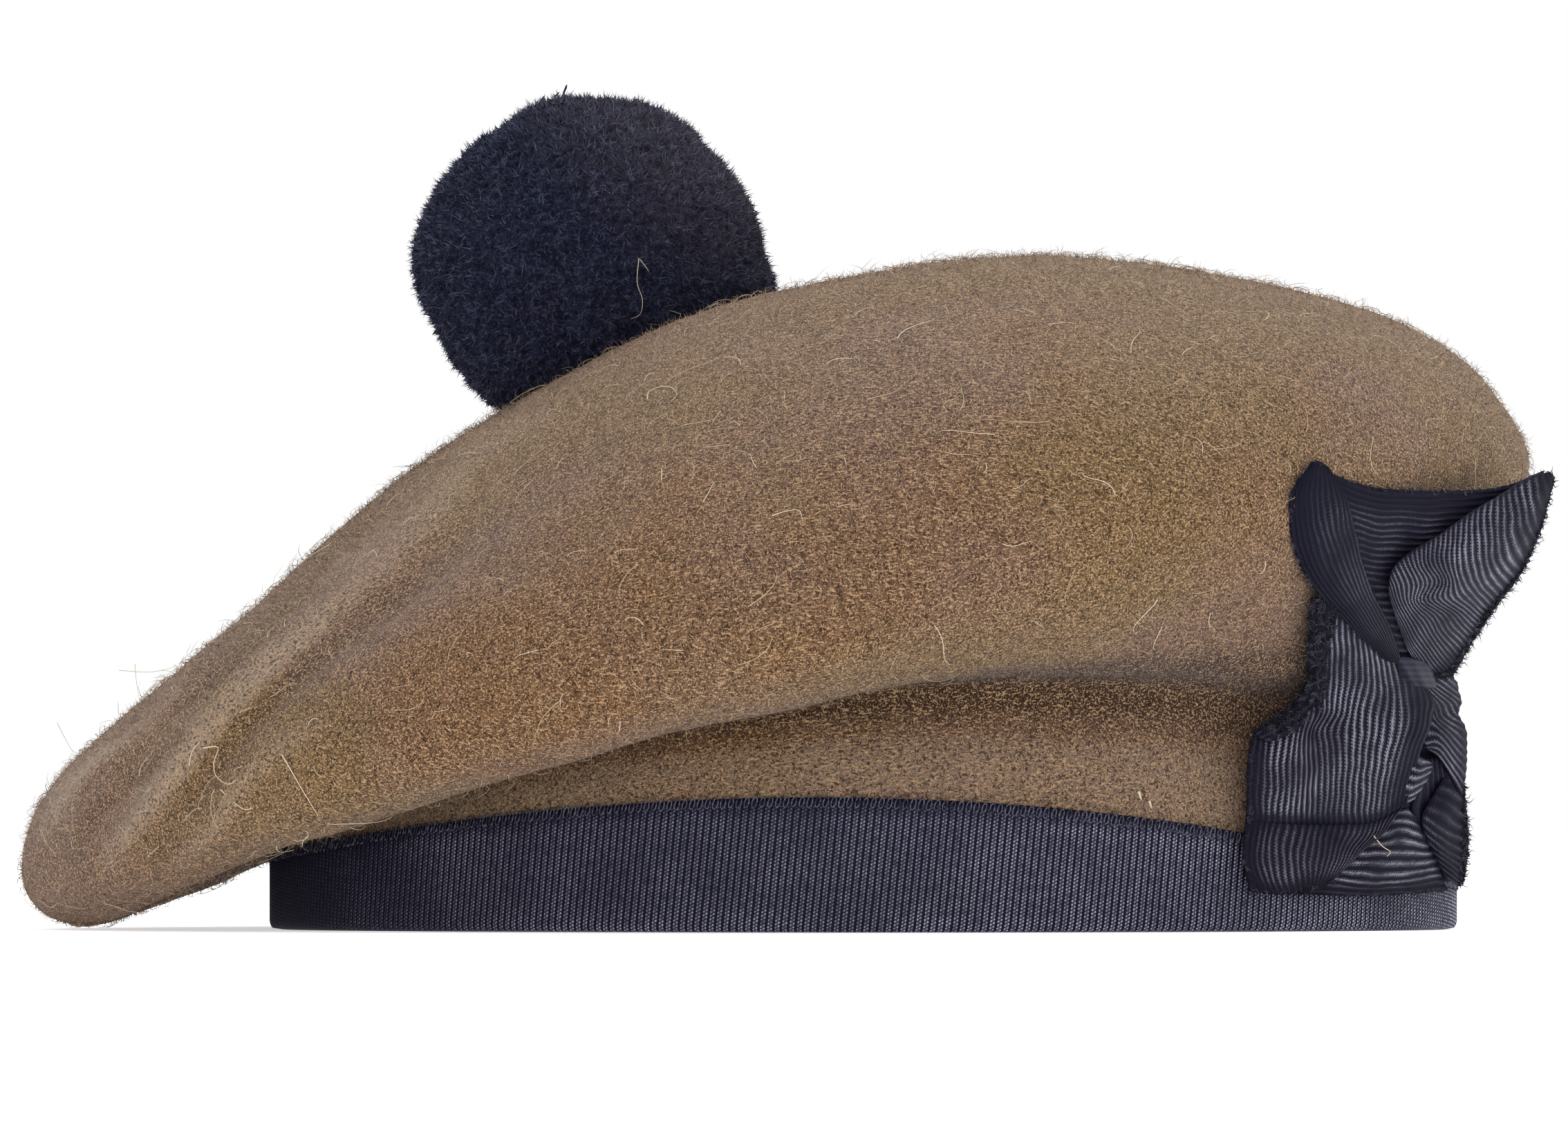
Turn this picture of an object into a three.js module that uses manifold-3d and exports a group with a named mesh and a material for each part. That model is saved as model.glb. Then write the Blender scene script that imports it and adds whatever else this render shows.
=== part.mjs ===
// A balmoral bonnet of milled wool felt, lying by itself: full hollow crown, grosgrain
// headband, wool pompom and a flat ribbon bow on the headband. Millimetres, +Z up,
// the bow to the +X end, the crown drooping to the -X end.
import * as THREE from "three";
import { mergeVertices } from "three/addons/utils/BufferGeometryUtils.js";
import Module from "manifold-3d";

// Driving dimensions
const bandLength = 200; // headband, outside, end to end
const bandWidth = 174; // headband, outside, side to side
const bandHeight = 22; // headband's outer leg at the sides
const bandLegDifference = 2; // how much lower the inner leg ends
const bandRibbon = 1; // headband ribbon
const bandFlat = 1.6; // flat strip under the headband that meets the surface
const feltThickness = 2.2;
const wallHeight = 39.5; // surface to the crease under the crown, at the sides
const crownLength = 254.2; // tip of the drooping lobe to the opposite rim
const crownWidth = 252;
const crownHeight = 113;
const crownDroop = 14.4; // how far the crown's middle hangs out towards the lobe
const pompomDiameter = 61;
const pompomFlattening = 0.87; // pompom's half height as a share of its half width
const pompomPress = 0.71; // its centre's height over the felt, as a share of its half height
const pompomShift = 2; // how far it leans towards the lobe
const pompomLocks = 66;
const lockHeight = 1.7; // how far a lock stands out of the core
const bowWidth = 72; // widest stretch of the bow, along the ribbon
const bowHeight = 73;
const bowLow = 5.8; // surface to the bow's lower edge
const knotHeight = 43.6; // surface to the middle of the knot
const bowDepth = 5; // how far the folded leaves stand out over the back layer
const topCurve = 0.05; // sink of the cut top edge's middle, as a share of the bow's height
const knotWidth = 8;
const knotTall = 6;
const knotThickness = 1.4;
const knotPlace = 0.42; // its middle, as a share of half the bow's width
const bowRibbon = 1;
const bowWrap = 200; // radius to which the flat bow bends round the headband
const bowYaw = 43; // the bow's facing, in degrees from the +X end towards the side
const foldRadius = 0.9; // middle line of a ribbon fold
const bowGap = 0.5; // least room behind the bow
const clearance = 0.3; // gap between neighbouring pieces

// Steps round the hat, and steps between two rows of a table
const ringSteps = 56;
const rowSteps = 2;

const wasm = await Module();
wasm.setup();

// Felt sections. Lengths are shares of half the section's length or width, heights are
// shares of the named height. left is the lobe's end, right the bow's end.
const wallSections = [
  { name: "hem", left: 1, right: 1, side: 1, leftUp: 0, rightUp: 0, sideUp: 0 },
  { name: "in band", left: 1, right: 1, side: 1, leftUp: 0.16, rightUp: 0.14, sideUp: 0.3 },
  { name: "wall", left: 1, right: 0.985, side: 1, leftUp: 0.3, rightUp: 0.42, sideUp: 0.66 },
  { name: "crease", left: 0.985, right: 0.945, side: 0.985, leftUp: 0.43, rightUp: 0.83, sideUp: 1 },
];
const crownSections = [
  { name: "lip", left: 0.909, right: 0.861, side: 0.9, leftUp: 0.004, rightUp: 0.434, sideUp: 0.319 },
  { name: "under rim", left: 0.978, right: 0.943, side: 0.976, leftUp: 0.03, rightUp: 0.555, sideUp: 0.365 },
  { name: "rim", left: 1, right: 1, side: 1, leftUp: 0.092, rightUp: 0.694, sideUp: 0.445 },
  { name: "shoulder", left: 0.964, right: 0.966, side: 0.972, leftUp: 0.205, rightUp: 0.775, sideUp: 0.56 },
  { name: "brow", left: 0.862, right: 0.893, side: 0.885, leftUp: 0.314, rightUp: 0.86, sideUp: 0.68 },
  { name: "slope", left: 0.705, right: 0.727, side: 0.722, leftUp: 0.465, rightUp: 0.937, sideUp: 0.795 },
  { name: "dome", left: 0.532, right: 0.467, side: 0.508, leftUp: 0.645, rightUp: 0.998, sideUp: 0.88 },
  { name: "crown top", left: 0.359, right: 0.145, side: 0.254, leftUp: 0.776, rightUp: 0.983, sideUp: 0.905 },
  { name: "pole", left: 0.186, right: -0.186, side: 0, leftUp: 0.863, rightUp: 0.863, sideUp: 0.863 },
];

// Soft folds of the lobe and the slope: azimuth and spread in degrees, depth and the rows
// between which a fold runs as shares of felt thickness and of the crown's row count.
const folds = [
  { azimuth: -162, spread: 7, depth: 0.5, from: 0.2, to: 0.62 },
  { azimuth: -149, spread: 5, depth: 0.8, from: 0.15, to: 0.72 },
  { azimuth: -138, spread: 5, depth: -0.45, from: 0.2, to: 0.7 },
  { azimuth: -127, spread: 6, depth: 0.75, from: 0.3, to: 0.95 },
  { azimuth: -112, spread: 7, depth: 0.5, from: 0.45, to: 0.95 },
  { azimuth: 153, spread: 6, depth: 0.7, from: 0.15, to: 0.7 },
  { azimuth: 134, spread: 7, depth: 0.5, from: 0.3, to: 0.9 },
];

// A value round the hat from its left, right and side values.
function around(left, right, side, azimuth) {
  const along = Math.cos(azimuth);
  return side + ((right - left) / 2) * along + ((right + left) / 2 - side) * along * along;
}

// A point of one felt section.
function sectionPoint(row, halfLength, halfWidth, middle, floor, height, azimuth) {
  const centre = middle + (halfLength * (row.right - row.left)) / 2;
  const reach = (halfLength * (row.right + row.left)) / 2;
  return new THREE.Vector3(
    centre + reach * Math.cos(azimuth),
    halfWidth * row.side * Math.sin(azimuth),
    floor + height * around(row.leftUp, row.rightUp, row.sideUp, azimuth),
  );
}

// The outer profile of the felt at one azimuth, from the hem to the pole.
const feltInset = bandRibbon + clearance;
function profile(azimuth) {
  const wall = wallSections.map((row) =>
    sectionPoint(row, bandLength / 2 - feltInset, bandWidth / 2 - feltInset, 0, feltInset,
      wallHeight - feltInset, azimuth),
  );
  const crown = crownSections.map((row) =>
    sectionPoint(row, crownLength / 2, crownWidth / 2, -crownDroop, 0, crownHeight, azimuth),
  );
  const underside = wall.at(-1).clone().lerp(crown[0], 0.5);
  return new THREE.CatmullRomCurve3([...wall, underside, ...crown], false, "centripetal");
}

// How far the soft folds sink the felt at one azimuth and one share of the crown's rows.
function foldDepth(azimuth, share) {
  let depth = 0;
  for (const fold of folds) {
    const turn = THREE.MathUtils.radToDeg(azimuth) - fold.azimuth;
    const away = (turn - 360 * Math.round(turn / 360)) / fold.spread;
    const along = (share - fold.from) / (fold.to - fold.from);
    if (along <= 0 || along >= 1) continue;
    depth += fold.depth * Math.exp(-away * away) * Math.sin(Math.PI * along) ** 2;
  }
  return depth * feltThickness;
}

// The felt's skin as rings from the hem to the pole, moved outwards by an offset. What would
// reach below the surface that the hat lies on is flattened just above it.
const profileRows = wallSections.length + crownSections.length;
const steps = profileRows * rowSteps;
const firstCrownStep = wallSections.length * rowSteps;
function skin(offset) {
  const rings = [];
  for (let step = 0; step <= steps; step += 1) rings.push([]);
  for (let i = 0; i < ringSteps; i += 1) {
    const azimuth = (2 * Math.PI * i) / ringSteps;
    const turn = 0.5 * (Math.PI / ringSteps);
    const here = profile(azimuth);
    const before = profile(azimuth - turn);
    const after = profile(azimuth + turn);
    for (let step = 0; step <= steps; step += 1) {
      const point = here.getPoint(step / steps);
      const share = (step - firstCrownStep) / (steps - firstCrownStep);
      const normal = new THREE.Vector3(0, 0, 1);
      if (step < steps) {
        const up = here.getPoint(Math.min(1, (step + 0.25) / steps));
        const down = here.getPoint(Math.max(0, (step - 0.25) / steps));
        const ahead = after.getPoint(step / steps);
        const behind = before.getPoint(step / steps);
        normal.crossVectors(ahead.sub(behind), up.sub(down)).normalize();
      } else {
        const lobeSide = profile(Math.PI).getPoint((steps - 1) / steps);
        const bowSide = profile(0).getPoint((steps - 1) / steps);
        bowSide.sub(lobeSide);
        normal.set(-bowSide.z, 0, bowSide.x).normalize();
      }
      point.addScaledVector(normal, offset - foldDepth(azimuth, share));
      point.z = Math.max(point.z, clearance - Math.min(offset, 0));
      rings[step].push(point);
    }
  }
  return rings;
}

// Triangles between neighbouring loops of points, leaving out the empty ones at a pole.
function stitch(loops) {
  const triangles = [];
  const add = (a, b, c) => {
    const tiny = 1e-6;
    if (a.distanceTo(b) < tiny || b.distanceTo(c) < tiny || c.distanceTo(a) < tiny) return;
    triangles.push(a, b, c);
  };
  for (let row = 0; row + 1 < loops.length; row += 1) {
    const low = loops[row];
    const high = loops[row + 1];
    for (let i = 0; i < low.length; i += 1) {
      const next = (i + 1) % low.length;
      add(low[i], low[next], high[next]);
      add(low[i], high[next], high[i]);
    }
  }
  return triangles;
}

// A flat or nearly flat end of a loft, as a strip between the two long sides of its loop.
function stripCap(loop, reversed) {
  const triangles = [];
  const last = loop.length - 1;
  for (let i = 0; i < loop.length / 2 - 1; i += 1) {
    triangles.push(loop[i], loop[last - i], loop[i + 1]);
    triangles.push(loop[i + 1], loop[last - i], loop[last - i - 1]);
  }
  return reversed ? triangles.reverse() : triangles;
}

// A fan over a loop of points.
function fanCap(loop, reversed) {
  const centre = new THREE.Vector3();
  for (const point of loop) centre.addScaledVector(point, 1 / loop.length);
  const triangles = [];
  for (let i = 0; i < loop.length; i += 1) {
    triangles.push(centre, loop[(i + 1) % loop.length], loop[i]);
  }
  return reversed ? triangles.reverse() : triangles;
}

// A closed geometry from triangle corners, facing out.
function closedGeometry(corners) {
  let volume = 0;
  for (let i = 0; i < corners.length; i += 3) {
    volume += corners[i].dot(corners[i + 1].clone().cross(corners[i + 2]));
  }
  const order = volume < 0 ? corners.toReversed() : corners;
  return mergeVertices(new THREE.BufferGeometry().setFromPoints(order), 1e-4);
}

// Joining and cutting
function toSolid(geometry) {
  const bare = geometry.clone();
  bare.deleteAttribute("normal");
  bare.deleteAttribute("uv");
  const merged = mergeVertices(bare, 1e-4);
  const vertProperties = new Float32Array(merged.attributes.position.array);
  const triVerts = new Uint32Array(merged.index.array);
  return new wasm.Manifold(new wasm.Mesh({ numProp: 3, vertProperties, triVerts }));
}
function toGeometry(solid) {
  const mesh = solid.getMesh();
  const geometry = new THREE.BufferGeometry();
  geometry.setAttribute("position", new THREE.BufferAttribute(mesh.vertProperties, 3));
  geometry.setIndex(new THREE.BufferAttribute(mesh.triVerts, 1));
  return geometry;
}
function piece(name, geometry, material) {
  geometry.computeVertexNormals();
  const mesh = new THREE.Mesh(geometry, material);
  mesh.name = name;
  return mesh;
}

// Crown: one hollow felt body, outer skin and inner skin joined round the hem.
const felt = new THREE.MeshStandardMaterial({ color: 0x80684c, roughness: 0.95, metalness: 0 });
function makeCrown() {
  const outer = skin(0);
  const inner = skin(-feltThickness).filter((ring, step) => step % rowSteps === 0);
  return piece("crown", closedGeometry(stitch([...outer.toReversed(), ...inner])), felt);
}

// Headband: ribbon folded round the hem. Its section has an outer leg, a flat bottom
// strip and an inner leg, and its height changes round the hat.
const bandMaterial = new THREE.MeshStandardMaterial({ color: 0x25242e, roughness: 0.8, metalness: 0 });
const bandTops = { left: 0.59, right: 0.38, side: 1 }; // shares of the headband's height
function bandTop(azimuth) {
  return bandHeight * around(bandTops.left, bandTops.right, bandTops.side, azimuth);
}
function makeHeadband() {
  const innerFace = 2 * (bandRibbon + clearance) + feltThickness;
  const bevel = bandRibbon / 2;
  const flatStart = (innerFace + bandRibbon - bandFlat) / 2;
  const loops = [];
  for (let i = 0; i <= ringSteps; i += 1) {
    const azimuth = (2 * Math.PI * i) / ringSteps;
    const top = bandTop(azimuth);
    const innerTop = top - bandLegDifference;
    const section = [
      [flatStart, 0],
      [bevel, bevel / 2],
      [0, bandRibbon + bevel],
      [0, top - bevel],
      [bevel / 2, top],
      [bandRibbon, top],
      [bandRibbon, bandRibbon],
      [innerFace, bandRibbon],
      [innerFace, innerTop],
      [innerFace + bandRibbon, innerTop],
      [innerFace + bandRibbon, bandRibbon + bevel],
      [innerFace + bandRibbon - bevel, bevel / 2],
      [flatStart + bandFlat, 0],
    ];
    loops.push(
      section.map(([inset, height]) =>
        new THREE.Vector3(
          (bandLength / 2 - inset) * Math.cos(azimuth),
          (bandWidth / 2 - inset) * Math.sin(azimuth),
          height,
        ),
      ),
    );
  }
  return piece("headband", closedGeometry(stitch(loops)), bandMaterial);
}

// Pompom: a flattened ball on the crown's pole, its core covered by fused blunt locks, its
// underside cut to the felt.
const wool = new THREE.MeshStandardMaterial({ color: 0x20202e, roughness: 1, metalness: 0 });
function makePompom() {
  const pole = profile(0).getPoint(1);
  const nextToPole = (steps - 1) / steps;
  const slope = profile(0).getPoint(nextToPole)
    .sub(profile(Math.PI).getPoint(nextToPole)).normalize();
  const upright = new THREE.Vector3(-slope.z, 0, slope.x).normalize();
  const halfWidth = pompomDiameter / 2;
  const halfHeight = halfWidth * pompomFlattening;
  const coreShare = 1 - lockHeight / halfWidth;
  const core = new THREE.IcosahedronGeometry(halfWidth * coreShare * 0.97, 3);
  const parts = [toSolid(core)];
  const goldenAngle = Math.PI * (3 - Math.sqrt(5));
  const lockRadius = halfWidth * Math.sqrt(4 / pompomLocks) * 0.7;
  for (let i = 0; i < pompomLocks; i += 1) {
    const height = 1 - (2 * (i + 0.5)) / pompomLocks;
    const across = Math.sqrt(1 - height * height);
    const direction = new THREE.Vector3(
      across * Math.cos(goldenAngle * i), across * Math.sin(goldenAngle * i), height);
    const lift = lockHeight * (1 + 0.35 * Math.sin(7 * i));
    const outline = [
      new THREE.Vector2(0, -lockHeight * 3),
      new THREE.Vector2(lockRadius, -lockHeight),
      new THREE.Vector2(lockRadius * 0.6, 0.7 * lift),
      new THREE.Vector2(0, lift),
    ];
    const lock = new THREE.LatheGeometry(outline, 5);
    lock.applyQuaternion(
      new THREE.Quaternion().setFromUnitVectors(new THREE.Vector3(0, 1, 0), direction));
    lock.translate(...direction.multiplyScalar(halfWidth * coreShare).toArray());
    parts.push(toSolid(lock));
  }
  const ball = toGeometry(wasm.Manifold.union(parts));
  ball.scale(1, 1, pompomFlattening);
  ball.applyQuaternion(
    new THREE.Quaternion().setFromUnitVectors(new THREE.Vector3(0, 0, 1), upright));
  pole.addScaledVector(upright, halfHeight * pompomPress).addScaledVector(slope, -pompomShift);
  ball.translate(...pole.toArray());
  const dome = skin(clearance).slice(firstCrownStep + 2 * rowSteps);
  const under = toSolid(closedGeometry([...fanCap(dome[0], false), ...stitch(dome)]));
  return piece("pompom", toGeometry(toSolid(ball).subtract(under)), wool);
}

const crown = makeCrown();
const headband = makeHeadband();
const pompom = makePompom();

// The bow's own frame: along the ribbon, out from the headband, and up. A place is given by
// its distance along and its stand-off, which bends back with the bow's wrap radius.
const bowRibbonMaterial = new THREE.MeshStandardMaterial({
  color: 0x2a2933, roughness: 0.75, metalness: 0 });
const facing = THREE.MathUtils.degToRad(-bowYaw);
const outward = new THREE.Vector3(Math.cos(facing), Math.sin(facing), 0);
const alongRibbon = new THREE.Vector3(-Math.sin(facing), Math.cos(facing), 0);
const bowAzimuth = Math.atan2(bandWidth * outward.y, bandLength * outward.x);
const bowFoot = new THREE.Vector3(
  (bandLength / 2) * Math.cos(bowAzimuth), (bandWidth / 2) * Math.sin(bowAzimuth), 0);
function bowPoint(along, standOff, height) {
  return bowFoot.clone()
    .addScaledVector(alongRibbon, along)
    .addScaledVector(outward, standOff - (along * along) / (2 * bowWrap))
    .setZ(height);
}

// The least stand-off that clears the felt and the headband over a stretch of the bow.
const reach = crownLength / 3; // farther out than any piece near the bow
const standOffSamples = 16;
const ray = new THREE.Raycaster();
function leastStandOff(left, right, height) {
  let most = 0;
  for (let i = 0; i <= standOffSamples; i += 1) {
    const along = left + ((right - left) * i) / standOffSamples;
    for (const lift of [-2, 0, 2]) {
      ray.set(bowPoint(along, reach, Math.max(1, height + lift)), outward.clone().negate());
      const hit = ray.intersectObjects([crown, headband])[0];
      if (hit) most = Math.max(most, reach - hit.distance);
    }
  }
  return most + bowGap + bowRibbon / 2;
}

// One ribbon wall: its middle line at each height is a list of [along, stand-off] points,
// and the wall is half its thickness to either side.
function ribbonWall(rows) {
  const loops = rows.map(({ line, height }) => {
    const front = [];
    const back = [];
    line.forEach(([along, out], i) => {
      const [alongBefore, outBefore] = line[Math.max(0, i - 1)];
      const [alongAfter, outAfter] = line[Math.min(line.length - 1, i + 1)];
      const side = new THREE.Vector2(outBefore - outAfter, alongAfter - alongBefore)
        .setLength(bowRibbon / 2);
      front.push(bowPoint(along + side.x, out + side.y, height(along)));
      back.push(bowPoint(along - side.x, out - side.y, height(along)));
    });
    return [...front, ...back.reverse()];
  });
  return closedGeometry([
    ...stripCap(loops[0], false), ...stitch(loops), ...stripCap(loops.at(-1), true)]);
}

// Upper half of the bow: a fan with both its edges folded forward over a sunken middle.
// up is a share of the height over the knot, depth of the bow's depth, and the rest are
// shares of half the bow's width.
const upperRows = [
  { up: 0.01, left: -0.08, leftFlap: 0.22, rightFlap: 0.53, right: 0.78, depth: 0.52 },
  { up: 0.14, left: -0.24, leftFlap: 0.27, rightFlap: 0.44, right: 0.8, depth: 0.64 },
  { up: 0.28, left: -0.45, leftFlap: 0.07, rightFlap: 0.28, right: 0.79, depth: 0.84 },
  { up: 0.42, left: -0.64, leftFlap: -0.14, rightFlap: 0, right: 0.77, depth: 1 },
  { up: 0.6, left: -0.8, leftFlap: -0.33, rightFlap: 0.02, right: 0.76, depth: 1 },
  { up: 0.8, left: -0.91, leftFlap: -0.5, rightFlap: 0.36, right: 0.8, depth: 0.8 },
  { up: 1, left: -0.86, leftFlap: -0.68, rightFlap: 0.72, right: 0.85, depth: 0.52 },
];
function makeUpper() {
  const half = bowWidth / 2;
  const rise = bowLow + bowHeight - knotHeight;
  const rows = upperRows.map((row) => {
    const left = row.left * half;
    const right = row.right * half;
    const level = knotHeight + clearance / 2 + row.up * (rise - clearance / 2);
    const back = leastStandOff(left, right, level);
    const depth = row.depth * bowDepth;
    const front = back + depth;
    const middle = (back + front) / 2;
    const bulge = 0.35 * depth;
    const leftFlap = row.leftFlap * half;
    const rightFlap = row.rightFlap * half;
    const line = [
      [leftFlap, front - bulge],
      [(leftFlap + left) / 2, front],
      [left + foldRadius, front - bulge / 3],
      [left, middle],
      [left + foldRadius, back],
      [left + (right - left) * 0.35, back],
      [left + (right - left) * 0.7, back],
      [right - foldRadius, back],
      [right, middle],
      [right - foldRadius, front - bulge / 3],
      [(rightFlap + right) / 2, front],
      [rightFlap, front - bulge / 2],
    ];
    const sink = topCurve * bowHeight * row.up;
    const height = (along) => {
      const across = (2 * along - left - right) / (right - left);
      return level - sink * Math.max(0, 1 - across * across);
    };
    return { line, height };
  });
  return piece("bow_upper", ribbonWall(rows), bowRibbonMaterial);
}

// Lower half of the bow: a front panel folded back under itself along a slanting edge, a
// hollow beside it and a raised strip at the right. Shares as above, down from the knot.
const lowerRows = [
  { down: 0.01, left: -0.11, fold: 0.5, hollow: 0.6, ridge: 0.7, right: 0.78, depth: 0.6 },
  { down: 0.14, left: -0.36, fold: 0.58, hollow: 0.7, ridge: 0.82, right: 0.93, depth: 0.8 },
  { down: 0.28, left: -0.56, fold: 0.62, hollow: 0.74, ridge: 0.88, right: 1.01, depth: 0.92 },
  { down: 0.45, left: -0.55, fold: 0.55, hollow: 0.74, ridge: 0.86, right: 0.95, depth: 0.96 },
  { down: 0.64, left: -0.56, fold: 0.47, hollow: 0.76, ridge: 0.9, right: 1, depth: 0.8 },
  { down: 0.72, left: -0.59, fold: 0.36, hollow: 0.74, ridge: 0.88, right: 1, depth: 0.92 },
  { down: 0.86, left: -0.61, fold: 0.16, hollow: 0.7, ridge: 0.84, right: 0.95, depth: 0.76 },
  { down: 1, left: -0.53, fold: 0, hollow: 0.6, ridge: 0.76, right: 0.86, depth: 0.6 },
];
function makeLower() {
  const half = bowWidth / 2;
  const drop = knotHeight - bowLow;
  const rows = lowerRows.map((row) => {
    const left = row.left * half;
    const right = row.right * half;
    const level = knotHeight - clearance / 2 - row.down * (drop - clearance / 2);
    const back = leastStandOff(left, right, level);
    const depth = row.depth * bowDepth;
    const front = back + depth;
    const fold = row.fold * half;
    const under = Math.max(fold - 0.12 * bowWidth, left + 0.06 * bowWidth);
    const hollow = row.hollow * half;
    const ridge = row.ridge * half;
    const line = [
      [left, back + 0.3 * depth],
      [left + 0.3 * (fold - left), front - 0.1 * depth],
      [left + 0.7 * (fold - left), front - 0.05 * depth],
      [fold - foldRadius, front],
      [fold, front - foldRadius],
      [fold - foldRadius, front - 2 * foldRadius],
      [under, (back + front) / 2 - foldRadius],
      [under - foldRadius, back + 0.5 * foldRadius],
      [under + foldRadius, back],
      [hollow, back + 0.05 * depth],
      [ridge, front - 0.2 * depth],
      [right, back + 0.35 * depth],
    ];
    return { line, height: () => level };
  });
  return piece("bow_lower", ribbonWall(rows.reverse()), bowRibbonMaterial);
}

// Knot: a short strip over the front of both halves where they meet.
const bowUpper = makeUpper();
const bowLower = makeLower();
function makeKnot() {
  const middle = (knotPlace * bowWidth) / 2;
  const loops = [];
  const across = [-1, -0.75, 0, 0.75, 1];
  for (const up of [-1, -0.6, 0, 0.6, 1]) {
    const height = knotHeight + (up * knotTall) / 2;
    const front = across.map((share) => {
      const along = middle + (share * knotWidth) / 2;
      let most = 0;
      for (const lift of [-1.5, 0, 1.5]) {
        for (const shift of [-1.2, 0, 1.2]) {
          ray.set(bowPoint(along + shift, reach, height + lift), outward.clone().negate());
          const hit = ray.intersectObjects([bowUpper, bowLower])[0];
          if (hit) most = Math.max(most, reach - hit.distance);
        }
      }
      return { along, most: most + clearance };
    });
    const rest = Math.max(...front.map((place) => place.most));
    loops.push([
      ...front.map(({ along }) => bowPoint(along, rest, height)),
      ...front.toReversed().map(({ along }, i) => {
        const edge = Math.abs(across[i]) === 1 || Math.abs(up) === 1;
        return bowPoint(along, rest + (edge ? 0.7 : 1) * knotThickness, height);
      }),
    ]);
  }
  const corners = [...stripCap(loops[0], false), ...stitch(loops), ...stripCap(loops.at(-1), true)];
  return piece("bow_knot", closedGeometry(corners), bowRibbonMaterial);
}

// The bonnet stands with its origin under the middle of its whole box.
const bonnet = new THREE.Group();
bonnet.add(crown, headband, pompom, bowUpper, bowLower, makeKnot());
const box = new THREE.Box3().setFromObject(bonnet, true);
const centre = box.getCenter(new THREE.Vector3());
bonnet.position.set(-centre.x, -centre.y, -box.min.z);

export default bonnet;
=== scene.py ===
# A balmoral bonnet of brown milled wool, lying by itself on a pale floor: a full felt crown,
# a corded headband, a wool pompom and a folded ribbon bow. The part's frame is in metres,
# +Z up, the bow at its +X end. Shapes are worked out in millimetres and scaled at the end.
import math
from functools import partial

import bmesh
import bpy
import numpy as np
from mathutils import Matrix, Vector, noise
from mathutils.bvhtree import BVHTree


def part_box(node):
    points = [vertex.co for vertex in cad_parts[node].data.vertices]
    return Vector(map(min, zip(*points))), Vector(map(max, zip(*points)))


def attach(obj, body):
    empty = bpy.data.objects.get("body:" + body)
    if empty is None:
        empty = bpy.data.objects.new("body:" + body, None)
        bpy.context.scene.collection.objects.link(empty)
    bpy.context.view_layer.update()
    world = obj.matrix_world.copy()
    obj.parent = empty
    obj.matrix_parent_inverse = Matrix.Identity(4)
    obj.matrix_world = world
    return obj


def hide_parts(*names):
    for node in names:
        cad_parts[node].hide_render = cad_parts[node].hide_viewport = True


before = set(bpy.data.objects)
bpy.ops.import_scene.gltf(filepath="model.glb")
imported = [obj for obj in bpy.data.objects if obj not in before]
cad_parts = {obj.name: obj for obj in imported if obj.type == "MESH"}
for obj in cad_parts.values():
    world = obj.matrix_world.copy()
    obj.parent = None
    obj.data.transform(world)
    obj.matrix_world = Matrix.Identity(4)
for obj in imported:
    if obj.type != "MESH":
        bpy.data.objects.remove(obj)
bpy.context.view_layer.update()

# Studio
# A wide pale floor in even white light, with one large soft lamp in front of the bonnet and one
# above it. The camera stands level with the headband and looks at the bonnet's side.
scene = bpy.context.scene
scene.view_settings.view_transform = "Standard"


def shape_object(name, points, faces):
    # A smooth mesh that isn't part of the scene by itself.
    mesh = bpy.data.meshes.new(name)
    mesh.from_pydata([tuple(point) for point in points], [], faces)
    mesh.shade_smooth()
    return bpy.data.objects.new(name, mesh)


def mesh_object(name, points, faces):
    made = shape_object(name, points, faces)
    made.data.validate()
    scene.collection.objects.link(made)
    return made


def plain_material(name, roughness, specular):
    made = bpy.data.materials.new(name)
    made.use_nodes = True
    shader = made.node_tree.nodes["Principled BSDF"]
    shader.inputs["Roughness"].default_value = roughness
    shader.inputs["Specular IOR Level"].default_value = specular
    return made, shader


floor_reach = 9.0
floor_points = [(-floor_reach, -floor_reach, 0), (floor_reach, -floor_reach, 0)]
floor_points += [(floor_reach, floor_reach, 0), (-floor_reach, floor_reach, 0)]
floor = mesh_object("studio_floor", floor_points, [(0, 1, 2, 3)])
floor_paint, floor_shader = plain_material("studio_floor_paint", 0.9, 0.5)
floor_shader.inputs["Base Color"].default_value = (0.9, 0.9, 0.9, 1)
floor_shader.inputs["Emission Color"].default_value = (1, 1, 1, 1)
floor_shader.inputs["Emission Strength"].default_value = 0.55
floor.data.materials.append(floor_paint)

world = bpy.data.worlds.new("studio_light")
world.use_nodes = True
world.node_tree.nodes["Background"].inputs["Color"].default_value = (1.0, 1.0, 1.0, 1)
world.node_tree.nodes["Background"].inputs["Strength"].default_value = 1.0
scene.world = world


def lamp(name, place, target, size, watts, tint):
    light = bpy.data.lights.new(name, "AREA")
    light.shape = "DISK"
    light.color = tint
    light.size = size
    light.energy = watts
    holder = bpy.data.objects.new(name, light)
    holder.location = place
    holder.rotation_euler = (Vector(target) - Vector(place)).to_track_quat("-Z", "Y").to_euler()
    scene.collection.objects.link(holder)
    return holder


lamp("window_lamp", (0.3, -2.5, 0.06), (0, 0, 0.04), 1.2, 24, (1.0, 1.0, 1.0))
lamp("ceiling_lamp", (0.3, 0.3, 1.7), (0, 0, 0.08), 1.2, 19, (0.86, 0.94, 1.0))

camera_data = bpy.data.cameras.new("camera")
camera = bpy.data.objects.new("camera", camera_data)
camera_distance = 3.0
camera_level = 0.020
sensor_width = 36
view_middle = (-0.000755, 0.0, 0.0609)
view_width = 0.2642
camera_data.sensor_width = sensor_width
camera_data.lens = sensor_width * camera_distance / view_width
camera_data.clip_end = 40
camera.location = (view_middle[0], -camera_distance, camera_level)
toward = Vector(view_middle) - camera.location
camera.rotation_euler = toward.to_track_quat("-Z", "Y").to_euler()
scene.collection.objects.link(camera)
scene.camera = camera

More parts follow.
